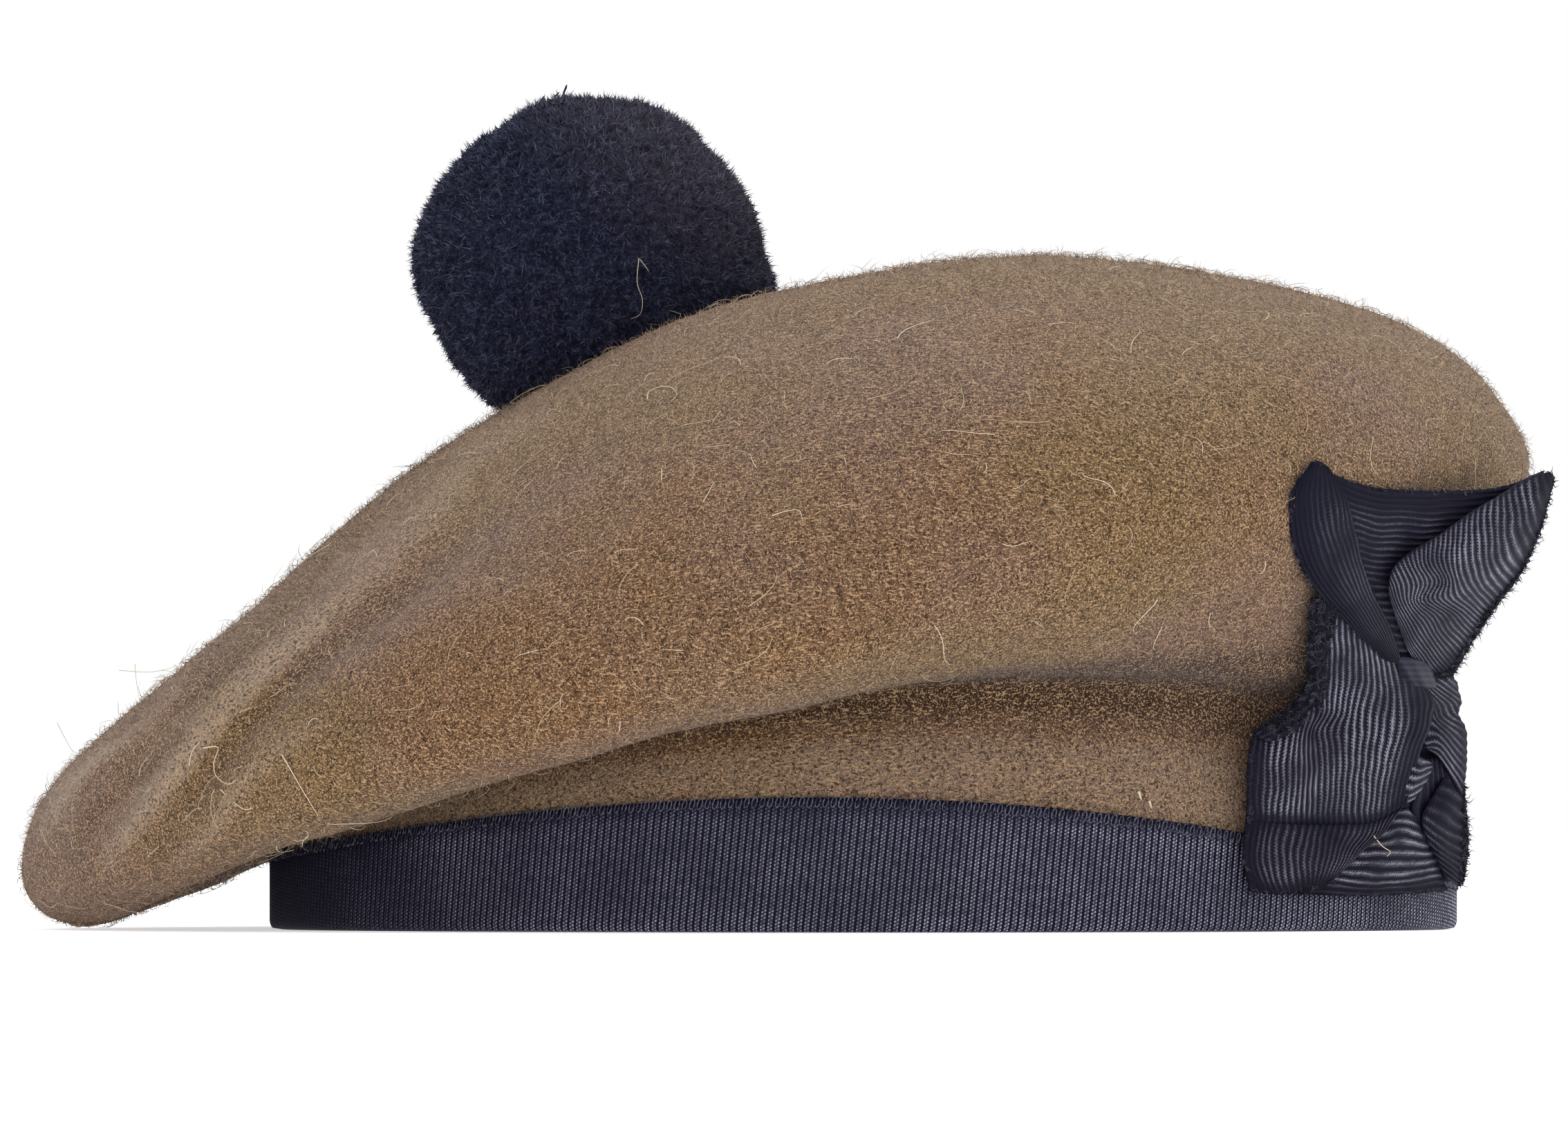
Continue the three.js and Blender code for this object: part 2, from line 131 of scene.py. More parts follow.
# Crown
# One piece of thick milled wool, knitted big and shrunk to felt: a wide soft crown that turns
# in under its rim and runs down as the head's wall. It hangs over at one end in soft folds.
millimetre = 0.001
felt_thickness = 2.2
felt_clearance = 0.3
felt_inset = 1.3
band_half_length = 100.0
band_half_width = 87.0
wall_height = 39.5
crown_half_length = 127.1
crown_half_width = 126.0
crown_height = 113.0
crown_droop = 14.4
wall_sections = (
    # name, then reach and then height at the left end, the right end and the sides
    ("hem", 1, 1, 1, 0, 0, 0),
    ("in band", 1, 1, 1, 0.16, 0.14, 0.3),
    ("wall", 1, 0.985, 1, 0.3, 0.42, 0.66),
    ("crease", 0.985, 0.945, 0.985, 0.43, 0.83, 1),
)
crown_sections = (
    ("lip", 0.909, 0.861, 0.9, 0.004, 0.434, 0.319),
    ("under rim", 0.978, 0.943, 0.976, 0.03, 0.555, 0.365),
    ("rim", 1, 1, 1, 0.092, 0.694, 0.445),
    ("shoulder", 0.964, 0.966, 0.972, 0.205, 0.775, 0.56),
    ("brow", 0.862, 0.893, 0.885, 0.314, 0.86, 0.68),
    ("slope", 0.705, 0.727, 0.722, 0.465, 0.937, 0.795),
    ("dome", 0.532, 0.467, 0.508, 0.645, 0.998, 0.88),
    ("crown top", 0.359, 0.145, 0.254, 0.776, 0.983, 0.905),
    ("pole", 0.186, -0.186, 0, 0.863, 0.863, 0.863),
)
folds = (
    # azimuth, spread, depth, from, to
    (-162, 7, 0.5, 0.2, 0.62),
    (-149, 5, 0.8, 0.15, 0.72),
    (-138, 5, -0.45, 0.2, 0.7),
    (-127, 6, 0.75, 0.3, 0.95),
    (-112, 7, 0.5, 0.45, 0.95),
    (153, 6, 0.7, 0.15, 0.7),
    (134, 7, 0.5, 0.3, 0.9),
)
ridges = (
    # start across and up, end across and up, half width, height
    (-127, 12, -66, 75, 2.0, 2.0),
    (-121, 11, -66, 67, 2.0, -1.3),
    (-131, 20, -80, 71, 1.9, -1.3),
    (-139, 15, -112, 42, 2.0, 1.5),
    (-134, 12, -112, 34, 1.6, -0.9),
    (-92, 56, -52, 86, 2.4, 1.3),
    (-86, 50, -46, 78, 2.4, -0.9),
    (-62, 56, -34, 74, 3.4, -0.6),
    (-116, 10, -88, 36, 1.8, 0.8),
)
first_crown_row = len(wall_sections)
pole_row = len(wall_sections) + len(crown_sections)


def around(left, right, side, azimuth):
    # A value given at the two ends and the sides of the hat, read all round it.
    across = np.cos(azimuth)
    return side + (right - left) / 2 * across + ((right + left) / 2 - side) * across**2


def section_line(row, half_length, half_width, middle, foot, height, azimuth):
    name, left, right, side, left_up, right_up, side_up = row
    centre = middle + half_length * (right - left) / 2
    reach = half_length * (right + left) / 2
    x = centre + reach * np.cos(azimuth)
    y = half_width * side * np.sin(azimuth)
    z = foot + height * around(left_up, right_up, side_up, azimuth)
    return np.stack([x, y, z + 0 * x], axis=1)


def through_rows(points, places):
    # A centripetal curve through the rows of points, read at places counted in rows.
    first = 2 * points[:1] - points[1:2]
    final = 2 * points[-1:] - points[-2:-1]
    line = np.concatenate([first, points, final])
    segment = np.minimum(places.astype(int), len(points) - 2)
    share = (places - segment)[:, None, None]
    before, start, end, after = (line[segment + k] for k in range(4))
    step = [np.linalg.norm(b - a, axis=2, keepdims=True) ** 0.5
            for a, b in ((before, start), (start, end), (end, after))]
    step[1] = np.where(step[1] < 1e-4, 1.0, step[1])
    step[0] = np.where(step[0] < 1e-4, step[1], step[0])
    step[2] = np.where(step[2] < 1e-4, step[1], step[2])
    leave = (start - before) / step[0] - (end - before) / (step[0] + step[1]) + (end - start) / step[1]
    arrive = (end - start) / step[1] - (after - start) / (step[1] + step[2]) + (after - end) / step[2]
    leave *= step[1]
    arrive *= step[1]
    square = -3 * start + 3 * end - 2 * leave - arrive
    cube = 2 * start - 2 * end + leave + arrive
    return start + leave * share + square * share**2 + cube * share**3


def felt_rings(places, azimuth):
    wall = [
        section_line(row, band_half_length - felt_inset, band_half_width - felt_inset, 0,
                     felt_inset, wall_height - felt_inset, azimuth)
        for row in wall_sections
    ]
    crown = [
        section_line(row, crown_half_length, crown_half_width, -crown_droop, 0, crown_height, azimuth)
        for row in crown_sections
    ]
    underside = (wall[-1] + crown[0]) / 2
    return through_rows(np.array([*wall, underside, *crown]), places)


def fold_depth(places, azimuth):
    degrees = np.degrees(azimuth)[None, :]
    share = ((places - first_crown_row) / (pole_row - first_crown_row))[:, None]
    depth = np.zeros((len(places), len(azimuth)))
    for middle, spread, deep, start, end in folds:
        turn = degrees - middle
        away = (turn - 360 * np.round(turn / 360)) / spread
        along = np.clip((share - start) / (end - start), 0, 1)
        depth += deep * np.exp(-away**2) * np.sin(np.pi * along) ** 2
    return depth * felt_thickness


def ridge_height(points):
    # Long soft ridges that run up the side of the lobe, seen square to the side.
    height = np.zeros(points.shape[:2])
    for x0, z0, x1, z1, half_width, rise in ridges:
        # On the far side they run a little lower and are fainter.
        for side, mirror_shift, share in ((-1, 0.0, 1.0), (1, 5.0, 0.5)):
            line = np.array([x1 - x0, z1 - z0])
            length = np.linalg.norm(line)
            offset = points[:, :, [0, 2]] - np.array([x0, z0 - mirror_shift])
            along = np.clip(offset @ line / length**2, 0, 1)
            aside = (offset @ np.array([-line[1], line[0]])) / length
            bend = 1.3 * np.sin(along * math.pi * 2.2 + x0)
            near = np.exp(-(((aside - bend) / half_width) ** 2)) * np.sin(math.pi * along) ** 0.5
            height += share * rise * near * smooth_step(8, 30, points[:, :, 1] * side)
    return height


def smooth_step(low, high, value):
    share = np.clip((value - low) / (high - low), 0, 1)
    return share**2 * (3 - 2 * share)


felt_swells = ((34, 1.15, 3.1), (15, 0.42, 7.7), (5.5, 0.16, 12.3))  # size, height and seed of each


def felt_skin(places, azimuth, offset, lumpy):
    rings = felt_rings(places, azimuth)
    step = 0.05
    up = felt_rings(np.minimum(places + step, pole_row), azimuth)
    down = felt_rings(np.maximum(places - step, 0), azimuth)
    turn = 0.01
    ahead = felt_rings(places, azimuth + turn)
    behind = felt_rings(places, azimuth - turn)
    normal = np.cross(ahead - behind, up - down)
    size = np.linalg.norm(normal, axis=2, keepdims=True)
    normal = normal / np.maximum(size, 1e-9)
    normal[size[:, :, 0] < 1e-9] = felt_upright
    sink = fold_depth(places, azimuth)
    lumps = np.zeros_like(sink)
    if lumpy:
        free = smooth_step(3.0, 4.6, places)[:, None]
        for scale, height, seed in felt_swells:
            swell = [noise.noise(Vector(point) / scale + Vector((seed, 0, 0)))
                     for point in rings.reshape(-1, 3)]
            lumps += height * np.array(swell).reshape(sink.shape) * free
        lumps += ridge_height(rings) * free
    points = rings + normal * (offset - sink + lumps)[:, :, None]
    points[:, :, 2] = np.maximum(points[:, :, 2], felt_clearance - min(offset, 0))
    return points


beside_pole = felt_rings(np.array([pole_row - 0.5]), np.array([0.0, math.pi]))[0]
felt_slope = (beside_pole[0] - beside_pole[1]) / np.linalg.norm(beside_pole[0] - beside_pole[1])
felt_upright = np.array([-felt_slope[2], 0, felt_slope[0]])

band_low, band_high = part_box("headband")
hat_middle = np.array([(band_low.x + band_high.x) / 2 / millimetre, 0, 0])

crown_azimuths = 360
crown_turn = np.arange(crown_azimuths) * 2 * math.pi / crown_azimuths
outer_places = np.linspace(0, pole_row, 157)  # rows of the outer skin, counted in sections
inner_places = np.linspace(0, pole_row, 41)
outer_skin = felt_skin(outer_places, crown_turn, 0, True)
inner_skin = felt_skin(inner_places, crown_turn, -felt_thickness, False)


def ring_faces(first, rows, columns, inside_out=False):
    faces = []
    for row in range(rows - 1):
        for i in range(columns):
            a = first + row * columns + i
            b = first + row * columns + (i + 1) % columns
            quad = (a, b, b + columns, a + columns)
            faces.append(quad[::-1] if inside_out else quad)
    return faces


def pole_faces(first, columns, pole, inside_out=False):
    faces = []
    for i in range(columns):
        fan = (first + i, first + (i + 1) % columns, pole)
        faces.append(fan[::-1] if inside_out else fan)
    return faces


def to_row(points):
    return (np.asarray(points) + hat_middle) * millimetre


outer_rows = len(outer_places) - 1
inner_rows = len(inner_places) - 1
inner_start = outer_rows * crown_azimuths
crown_points = np.concatenate([
    outer_skin[:-1].reshape(-1, 3), inner_skin[:-1].reshape(-1, 3), outer_skin[-1, :1], inner_skin[-1, :1]])
outer_pole = len(crown_points) - 2
inner_pole = len(crown_points) - 1
crown_faces = ring_faces(0, outer_rows, crown_azimuths)
crown_faces += pole_faces((outer_rows - 1) * crown_azimuths, crown_azimuths, outer_pole)
crown_faces += ring_faces(inner_start, inner_rows, crown_azimuths, True)
inner_last = inner_start + (inner_rows - 1) * crown_azimuths
crown_faces += pole_faces(inner_last, crown_azimuths, inner_pole, True)
for i in range(crown_azimuths):
    after = (i + 1) % crown_azimuths
    crown_faces.append((i, inner_start + i, inner_start + after, after))
crown = mesh_object("felt_crown", to_row(crown_points), crown_faces)


def set_value(made, name, values):
    layer = made.data.attributes.new(name, "FLOAT", "POINT")
    layer.data.foreach_set("value", np.asarray(values, dtype=np.float32))


# Along the ridges the pile is lighter and greyer and between them darker, partly from wear and
# partly as painted light and painted shade of the relief. On top and low on the wall the felt is
# painted lighter as painted light, and the crease under the rim is painted darker as painted shade.
outer_wear_and_painted_shading = np.clip(ridge_height(outer_skin) / 1.25, -1, 1)
outer_wear_and_painted_shading *= 1 - 0.5 * smooth_step(42, 62, outer_skin[:, :, 2])
# Painted light: the top is made lighter.
outer_wear_and_painted_shading += 0.22 * smooth_step(75, 108, outer_skin[:, :, 2])
# Painted shade in the crease under the rim, and painted light low on the wall.
crease_painted_shade = smooth_step(2.35, 2.75, outer_places) * (1 - smooth_step(4.3, 5.2, outer_places))
wall_painted_light = smooth_step(0.8, 1.5, outer_places) * (1 - smooth_step(2.2, 2.5, outer_places))
outer_wear_and_painted_shading = outer_wear_and_painted_shading + (0.45 * wall_painted_light - 2.0 * crease_painted_shade)[:, None]
inner_wear_and_painted_shading = np.zeros(len(crown_points) - inner_start)
set_value(crown, "wear_and_painted_shading", np.concatenate([outer_wear_and_painted_shading[:-1].ravel(), inner_wear_and_painted_shading]))


def shade(tree, kind, **values):
    node = tree.nodes.new(kind)
    for name, value in values.items():
        setattr(node, name, value)
    return node


def group_tree(name, kind, inputs, outputs):
    tree = bpy.data.node_groups.new(name, kind)
    for label, socket, value in inputs:
        made = tree.interface.new_socket(label, in_out="INPUT", socket_type=socket)
        if value is not None:
            made.default_value = value
    for label, socket in outputs:
        tree.interface.new_socket(label, in_out="OUTPUT", socket_type=socket)
    return tree, tree.nodes.new("NodeGroupInput"), tree.nodes.new("NodeGroupOutput")


def feed(tree, socket, value):
    if isinstance(value, (int, float, tuple)):
        socket.default_value = value
    elif value is not None:
        tree.links.new(value, socket)


def math_node(tree, operation, first, second=None, third=None, clamp=False):
    node = shade(tree, "ShaderNodeMath", operation=operation, use_clamp=clamp)
    for i, value in enumerate((first, second, third)):
        feed(tree, node.inputs[i], value)
    return node.outputs[0]


def product(tree, *factors):
    total = factors[0]
    for factor in factors[1:]:
        total = math_node(tree, "MULTIPLY", total, factor)
    return total


def layered(tree, colour, layers):
    # Each layer is how much of it shows and the colour that it brings.
    for share, paint in layers:
        node = shade(tree, "ShaderNodeMix", data_type="RGBA", clamp_factor=True)
        feed(tree, node.inputs[0], share)
        feed(tree, node.inputs[6], colour)
        feed(tree, node.inputs[7], paint)
        colour = node.outputs[2]
    return colour


def noise_value(tree, vector, scale, detail=2.0, roughness=0.55, stretch=None, shift=(0, 0, 0)):
    move = shade(tree, "ShaderNodeMapping")
    move.inputs["Location"].default_value = shift
    if stretch:
        move.inputs["Rotation"].default_value = stretch[0]
        move.inputs["Scale"].default_value = stretch[1]
    tree.links.new(vector, move.inputs["Vector"])
    node = shade(tree, "ShaderNodeTexNoise")
    node.inputs["Detail"].default_value = detail
    node.inputs["Roughness"].default_value = roughness
    tree.links.new(move.outputs[0], node.inputs["Vector"])
    feed(tree, node.inputs["Scale"], scale)
    return node.outputs["Fac"]


def ranged(tree, value, low, high, out_low=0.0, out_high=1.0):
    node = shade(tree, "ShaderNodeMapRange", interpolation_type="SMOOTHSTEP")
    labels = ("Value", "From Min", "From Max", "To Min", "To Max")
    for label, given in zip(labels, (value, low, high, out_low, out_high)):
        feed(tree, node.inputs[label], given)
    return node.outputs[0]


# Wool is never one colour: fine dark and light fibres over a slow drift between a warmer and a
# greyer shade. The felt, the headband's edge thread and the pompom share this group.
wool_tree, wool_in, wool_out = group_tree(
    "wool mottle", "ShaderNodeTree",
    (("Vector", "NodeSocketVector", None), ("Fibre Scale", "NodeSocketFloat", 900.0),
     ("Drift Scale", "NodeSocketFloat", 22.0), ("Wool", "NodeSocketColor", (0.2, 0.13, 0.08, 1)),
     ("Dark Fibre", "NodeSocketColor", (0.1, 0.06, 0.04, 1)),
     ("Light Fibre", "NodeSocketColor", (0.4, 0.3, 0.2, 1)),
     ("Grey Shade", "NodeSocketColor", (0.2, 0.14, 0.11, 1)),
     ("Warm Shade", "NodeSocketColor", (0.22, 0.15, 0.08, 1)), ("Wear And Painted Shading", "NodeSocketFloat", 0.0)),
    (("Color", "NodeSocketColor"), ("Height", "NodeSocketFloat")))
wool_noise = partial(noise_value, wool_tree, wool_in.outputs["Vector"])
wool_range = partial(ranged, wool_tree)
fibre_scale, drift_scale, dark_fibre, light_fibre, grey_shade, warm_shade, wear_and_painted_shading_share = (
    wool_in.outputs[label] for label in ("Fibre Scale", "Drift Scale", "Dark Fibre", "Light Fibre",
                                         "Grey Shade", "Warm Shade", "Wear And Painted Shading"))
slow = wool_noise(drift_scale, 3.0, 0.6)
patchy = wool_noise(drift_scale, 2.0, 0.5, None, (5.1, 2.2, 0.7))
fine = wool_noise(fibre_scale, 2.0, 0.65)
blotch = wool_noise(product(wool_tree, fibre_scale, 0.2), 3.0, 0.7, None, (2.0, 9.1, 4.4))
lying_one = wool_noise(fibre_scale, 1.0, 0.5, ((0.5, 0.3, 0.9), (2.4, 0.6, 2.0)))
lying_two = wool_noise(fibre_scale, 1.0, 0.5, ((-0.7, 0.8, -0.4), (0.6, 2.2, 1.8)))
body_colour = layered(wool_tree, wool_in.outputs["Wool"], (
    (wool_range(slow, 0.38, 0.6), grey_shade),
    (wool_range(patchy, 0.45, 0.62), warm_shade),
    (wool_range(blotch, 0.53, 0.72, 0.0, 0.6), grey_shade),
    (wool_range(blotch, 0.47, 0.3, 0.0, 0.5), dark_fibre),
    # The last input lightens the colour above zero and darkens it below: it carries wear together with
    # painted light and painted shade.
    (product(wool_tree, wear_and_painted_shading_share, 0.7), (0.31, 0.24, 0.185, 1)),
    (product(wool_tree, wear_and_painted_shading_share, -0.42), dark_fibre),
    (wool_range(fine, 0.56, 0.36, 0.0, 0.82), dark_fibre),
    (wool_range(lying_one, 0.54, 0.68, 0.0, 0.75), light_fibre),
    (wool_range(lying_two, 0.55, 0.7, 0.0, 0.65), light_fibre)))
wool_tree.links.new(body_colour, wool_out.inputs["Color"])
wool_height = math_node(wool_tree, "ADD", fine, math_node(wool_tree, "MAXIMUM", lying_one, lying_two))
wool_tree.links.new(wool_height, wool_out.inputs["Height"])


def set_sheen(shader, weight, tint):
    shader.inputs["Sheen Weight"].default_value = weight
    shader.inputs["Sheen Roughness"].default_value = 0.35
    shader.inputs["Sheen Tint"].default_value = tint


def point_value(tree, name):
    return shade(tree, "ShaderNodeAttribute", attribute_name=name).outputs["Fac"]


def object_place(tree):
    return shade(tree, "ShaderNodeTexCoord").outputs["Object"]


def set_relief(tree, shader, height, strength, distance):
    relief = shade(tree, "ShaderNodeBump")
    relief.inputs["Strength"].default_value = strength
    relief.inputs["Distance"].default_value = distance
    tree.links.new(height, relief.inputs["Height"])
    tree.links.new(relief.outputs["Normal"], shader.inputs["Normal"])


def wool_material(name, colours, fibre, drift, roughness, sheen, sheen_tint, bump):
    made, shader = plain_material(name, roughness, 0.05)
    set_sheen(shader, sheen, sheen_tint)
    tree = made.node_tree
    mottle = shade(tree, "ShaderNodeGroup", node_tree=wool_tree)
    feed(tree, mottle.inputs["Vector"], object_place(tree))
    feed(tree, mottle.inputs["Wear And Painted Shading"], point_value(tree, "wear_and_painted_shading"))
    feed(tree, mottle.inputs["Fibre Scale"], fibre)
    feed(tree, mottle.inputs["Drift Scale"], drift)
    for label, colour in zip(("Wool", "Dark Fibre", "Light Fibre", "Grey Shade", "Warm Shade"), colours):
        feed(tree, mottle.inputs[label], (*colour, 1))
    tree.links.new(mottle.outputs["Color"], shader.inputs["Base Color"])
    set_relief(tree, shader, mottle.outputs["Height"], bump, 0.0004)
    return made


felt = wool_material(
    "milled_felt",
    ((0.138, 0.071, 0.033), (0.026, 0.013, 0.0085), (0.47, 0.3, 0.17), (0.138, 0.081, 0.056),
     (0.138, 0.085, 0.036)),
    1700.0, 17.0, 0.95, 0.15, (0.72, 0.77, 0.88, 1), 1.0)
crown.data.materials.append(felt)
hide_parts("crown")
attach(crown, "root")

# Fuzz of the felt
# Ends of wool that the milling left standing: short bent fibres all over the outside of the
# crown, and fewer long pale curled hairs that worked out of it and lie on its surface. The wall
# under the crease is left bare.
fibre_sides = 3
least_height = 0.0002


def thread_mesh(name, path, radius):
    # A thin three-sided thread along a path in millimetres, thinning to a point at its end.
    points = []
    faces = []
    last = len(path) - 1
    side = (path[1] - path[0]).orthogonal()
    for i in range(last):
        along = (path[i + 1] - path[max(i - 1, 0)]).normalized()
        side = (side - along * side.dot(along)).normalized()
        other = along.cross(side)
        thin = radius * (1 - 0.5 * i / last)
        for k in range(fibre_sides):
            angle = 2 * math.pi * k / fibre_sides
            outward = side * math.cos(angle) + other * math.sin(angle)
            points.append((path[i] + outward * thin) * millimetre)
    points.append(path[last] * millimetre)
    tip = last * fibre_sides
    for i in range(last):
        for k in range(fibre_sides):
            a = i * fibre_sides + k
            b = i * fibre_sides + (k + 1) % fibre_sides
            faces.append((a, b, tip) if i == last - 1 else (a, b, b + fibre_sides, a + fibre_sides))
    return shape_object(name, points, faces)


def standing_path(length, bend, curl, steps):
    # A fibre that stands up, leans over and sways to one side.
    path = []
    for i in range(steps + 1):
        share = i / steps
        swing = curl * math.sin(share * math.pi * 1.6)
        path.append(Vector((bend * share**2, swing, share * (1 - 0.35 * bend * share))) * length)
    return path


def lying_path(length, turn, hook, steps):
    # A hair that lies on the surface: it turns evenly and more sharply towards its end.
    path = [Vector((-length / 2, 0, 0.1))]
    for i in range(1, steps + 1):
        share = i / steps
        heading = turn * share + hook * share**4
        stride = Vector((math.cos(heading), math.sin(heading), 0)) * (length / steps)
        path.append(path[-1] + stride)
        path[-1].z = 0.35 + 0.45 * math.sin(math.pi * share)
    return path


def fibre_set(name, kinds):
    made = bpy.data.collections.new(name)
    for i, (radius, path) in enumerate(kinds):
        made.objects.link(thread_mesh(f"{name}_{i}", path, radius))
    return made


def fibre_material(name, dark, middle, light, sheen):
    # Each fibre has a tone of its own, from dark through middle to light.
    made, shader = plain_material(name, 0.85, 0.1)
    set_sheen(shader, sheen, (0.75, 0.8, 0.88, 1))
    tree = made.node_tree
    tone = point_value(tree, "tone")
    wear_and_painted_shading = point_value(tree, "wear_and_painted_shading")
    drift = noise_value(tree, object_place(tree), 20.0, 2.0, 0.6)
    colour = layered(tree, (*dark, 1), (
        (ranged(tree, tone, 0.0, 0.5), (*middle, 1)),
        (ranged(tree, tone, 0.55, 1.0), (*light, 1)),
        (ranged(tree, drift, 0.4, 0.65, 0.0, 0.25), (*[part * 0.8 for part in middle], 1)),
        # The crown's wear and its painted light and painted shade reach the fibres too: lighter above zero,
        # darker below.
        (product(tree, wear_and_painted_shading, 0.6), (0.38, 0.3, 0.235, 1)),
        (product(tree, wear_and_painted_shading, -0.42), (*dark, 1))))
    tree.links.new(colour, shader.inputs["Base Color"])
    return made


def drawn_value(tree, given, kind, low=None, high=None):
    # A number or a vector drawn for each point with the tree's own seed.
    node = shade(tree, "FunctionNodeRandomValue", data_type=kind)
    first = 0 if kind == "FLOAT_VECTOR" else 2
    feed(tree, node.inputs[first], low)
    feed(tree, node.inputs[first + 1], high)
    tree.links.new(given.outputs["Seed"], node.inputs["Seed"])
    return node.outputs[first // 2]


def copied(tree, points, shape, turn, size):
    node = tree.nodes.new("GeometryNodeInstanceOnPoints")
    for label, source in (("Points", points), ("Instance", shape), ("Rotation", turn), ("Scale", size)):
        tree.links.new(source, node.inputs[label])
    return node


def finished(tree, copies, given, result):
    # Every tree ends in a plain mesh with its material.
    whole = tree.nodes.new("GeometryNodeRealizeInstances")
    tree.links.new(copies, whole.inputs["Geometry"])
    finish = tree.nodes.new("GeometryNodeSetMaterial")
    tree.links.new(whole.outputs["Geometry"], finish.inputs["Geometry"])
    tree.links.new(given.outputs["Finish"], finish.inputs["Material"])
    tree.links.new(finish.outputs["Geometry"], result.inputs["Geometry"])


def scatter_tree(name):
    # Copies of the fibres of one set, standing on the faces of the piece that they grow from.
    tree, given, result = group_tree(
        name, "GeometryNodeTree",
        (("Geometry", "NodeSocketGeometry", None), ("Fibres", "NodeSocketCollection", None),
         ("Density", "NodeSocketFloat", 100000.0), ("Seed", "NodeSocketInt", 1),
         ("Lean", "NodeSocketFloat", 0.8), ("Shortest", "NodeSocketFloat", 0.6),
         ("Longest", "NodeSocketFloat", 1.3), ("Clump Scale", "NodeSocketFloat", 1500.0),
         ("Finish", "NodeSocketMaterial", None)),
        (("Geometry", "NodeSocketGeometry"),))
    link = tree.links.new
    spots = tree.nodes.new("GeometryNodeDistributePointsOnFaces")
    link(given.outputs["Geometry"], spots.inputs["Mesh"])
    link(given.outputs["Density"], spots.inputs["Density"])
    link(given.outputs["Seed"], spots.inputs["Seed"])
    fibres = tree.nodes.new("GeometryNodeCollectionInfo")
    fibres.inputs["Separate Children"].default_value = True
    fibres.inputs["Reset Children"].default_value = True
    link(given.outputs["Fibres"], fibres.inputs["Collection"])
    backward = product(tree, given.outputs["Lean"], -1)
    least = tree.nodes.new("ShaderNodeCombineXYZ")
    most = tree.nodes.new("ShaderNodeCombineXYZ")
    most.inputs["Z"].default_value = 2 * math.pi
    for axis in ("X", "Y"):
        link(backward, least.inputs[axis])
        link(given.outputs["Lean"], most.inputs[axis])
    turn = tree.nodes.new("FunctionNodeEulerToRotation")
    link(drawn_value(tree, given, "FLOAT_VECTOR", least.outputs[0], most.outputs[0]), turn.inputs[0])
    turned = shade(tree, "FunctionNodeRotateRotation", rotation_space="LOCAL")
    link(spots.outputs["Rotation"], turned.inputs["Rotation"])
    link(turn.outputs[0], turned.inputs["Rotate By"])
    size = drawn_value(tree, given, "FLOAT", given.outputs["Shortest"], given.outputs["Longest"])
    copies = copied(tree, spots.outputs["Points"], fibres.outputs["Instances"], turned.outputs[0], size)
    copies.inputs["Pick Instance"].default_value = True
    # Neighbouring fibres share most of their tone, and chance gives the rest.
    spot = tree.nodes.new("GeometryNodeInputPosition")
    clump = tree.nodes.new("ShaderNodeTexNoise")
    clump.inputs["Detail"].default_value = 1.0
    link(spot.outputs[0], clump.inputs["Vector"])
    link(given.outputs["Clump Scale"], clump.inputs["Scale"])
    shared = math_node(tree, "MULTIPLY_ADD", clump.outputs["Fac"], 3.0, -1.2)
    own = math_node(tree, "MULTIPLY_ADD", drawn_value(tree, given, "FLOAT"), 0.4, shared)
    tone = shade(tree, "GeometryNodeStoreNamedAttribute", data_type="FLOAT", domain="INSTANCE")
    tone.inputs["Name"].default_value = "tone"
    link(copies.outputs["Instances"], tone.inputs["Geometry"])
    link(math_node(tree, "MAXIMUM", math_node(tree, "MINIMUM", own, 1.0), 0.0), tone.inputs["Value"])
    finished(tree, tone.outputs["Geometry"], given, result)
    return tree


def grown(name, base, tree, values):
    # The plain mesh that a node tree grows on a base piece.
    modifier = base.modifiers.new(tree.name, "NODES")
    modifier.node_group = tree
    for item in tree.interface.items_tree:
        if item.item_type == "SOCKET" and item.in_out == "INPUT" and item.name in values:
            modifier[item.identifier] = values[item.name]
    graph = bpy.context.evaluated_depsgraph_get()
    mesh = bpy.data.meshes.new_from_object(base.evaluated_get(graph), depsgraph=graph)
    mesh.name = name
    base.modifiers.remove(modifier)
    places = np.empty(len(mesh.vertices) * 3)
    mesh.vertices.foreach_get("co", places)
    places[2::3] = np.maximum(places[2::3], least_height)
    mesh.vertices.foreach_set("co", places)
    made = bpy.data.objects.new(name, mesh)
    scene.collection.objects.link(made)
    return made


def dropped(*bases):
    for base in bases:
        mesh = base.data
        bpy.data.objects.remove(base)
        bpy.data.meshes.remove(mesh)


fibre_tree = scatter_tree("standing fibres")
fuzz_from = 34  # the row of the outer skin where the fuzz starts, just below the crease
fuzz_points = outer_skin[fuzz_from:-1:2, ::2].reshape(-1, 3)
fuzz_faces = ring_faces(0, len(fuzz_points) // (crown_azimuths // 2), crown_azimuths // 2)
fuzz_base = mesh_object("fuzz_base", to_row(fuzz_points), fuzz_faces)
set_value(fuzz_base, "wear_and_painted_shading", outer_wear_and_painted_shading[fuzz_from:-1:2, ::2].ravel())
short_fibres = fibre_set("short_fibres", (
    (0.06, standing_path(1.3, 0.5, 0.1, 1)),
    (0.07, standing_path(1.0, 0.3, -0.15, 1)),
    (0.055, standing_path(1.7, 0.6, 0.1, 1)),
))
bent_fibres = fibre_set("bent_fibres", (
    (0.055, standing_path(2.2, 0.9, 0.2, 3)),
    (0.05, standing_path(3.0, 1.0, -0.25, 3)),
    (0.06, lying_path(2.4, 1.2, 0.5, 3)),
    (0.06, lying_path(3.2, -0.9, 1.0, 3)),
))
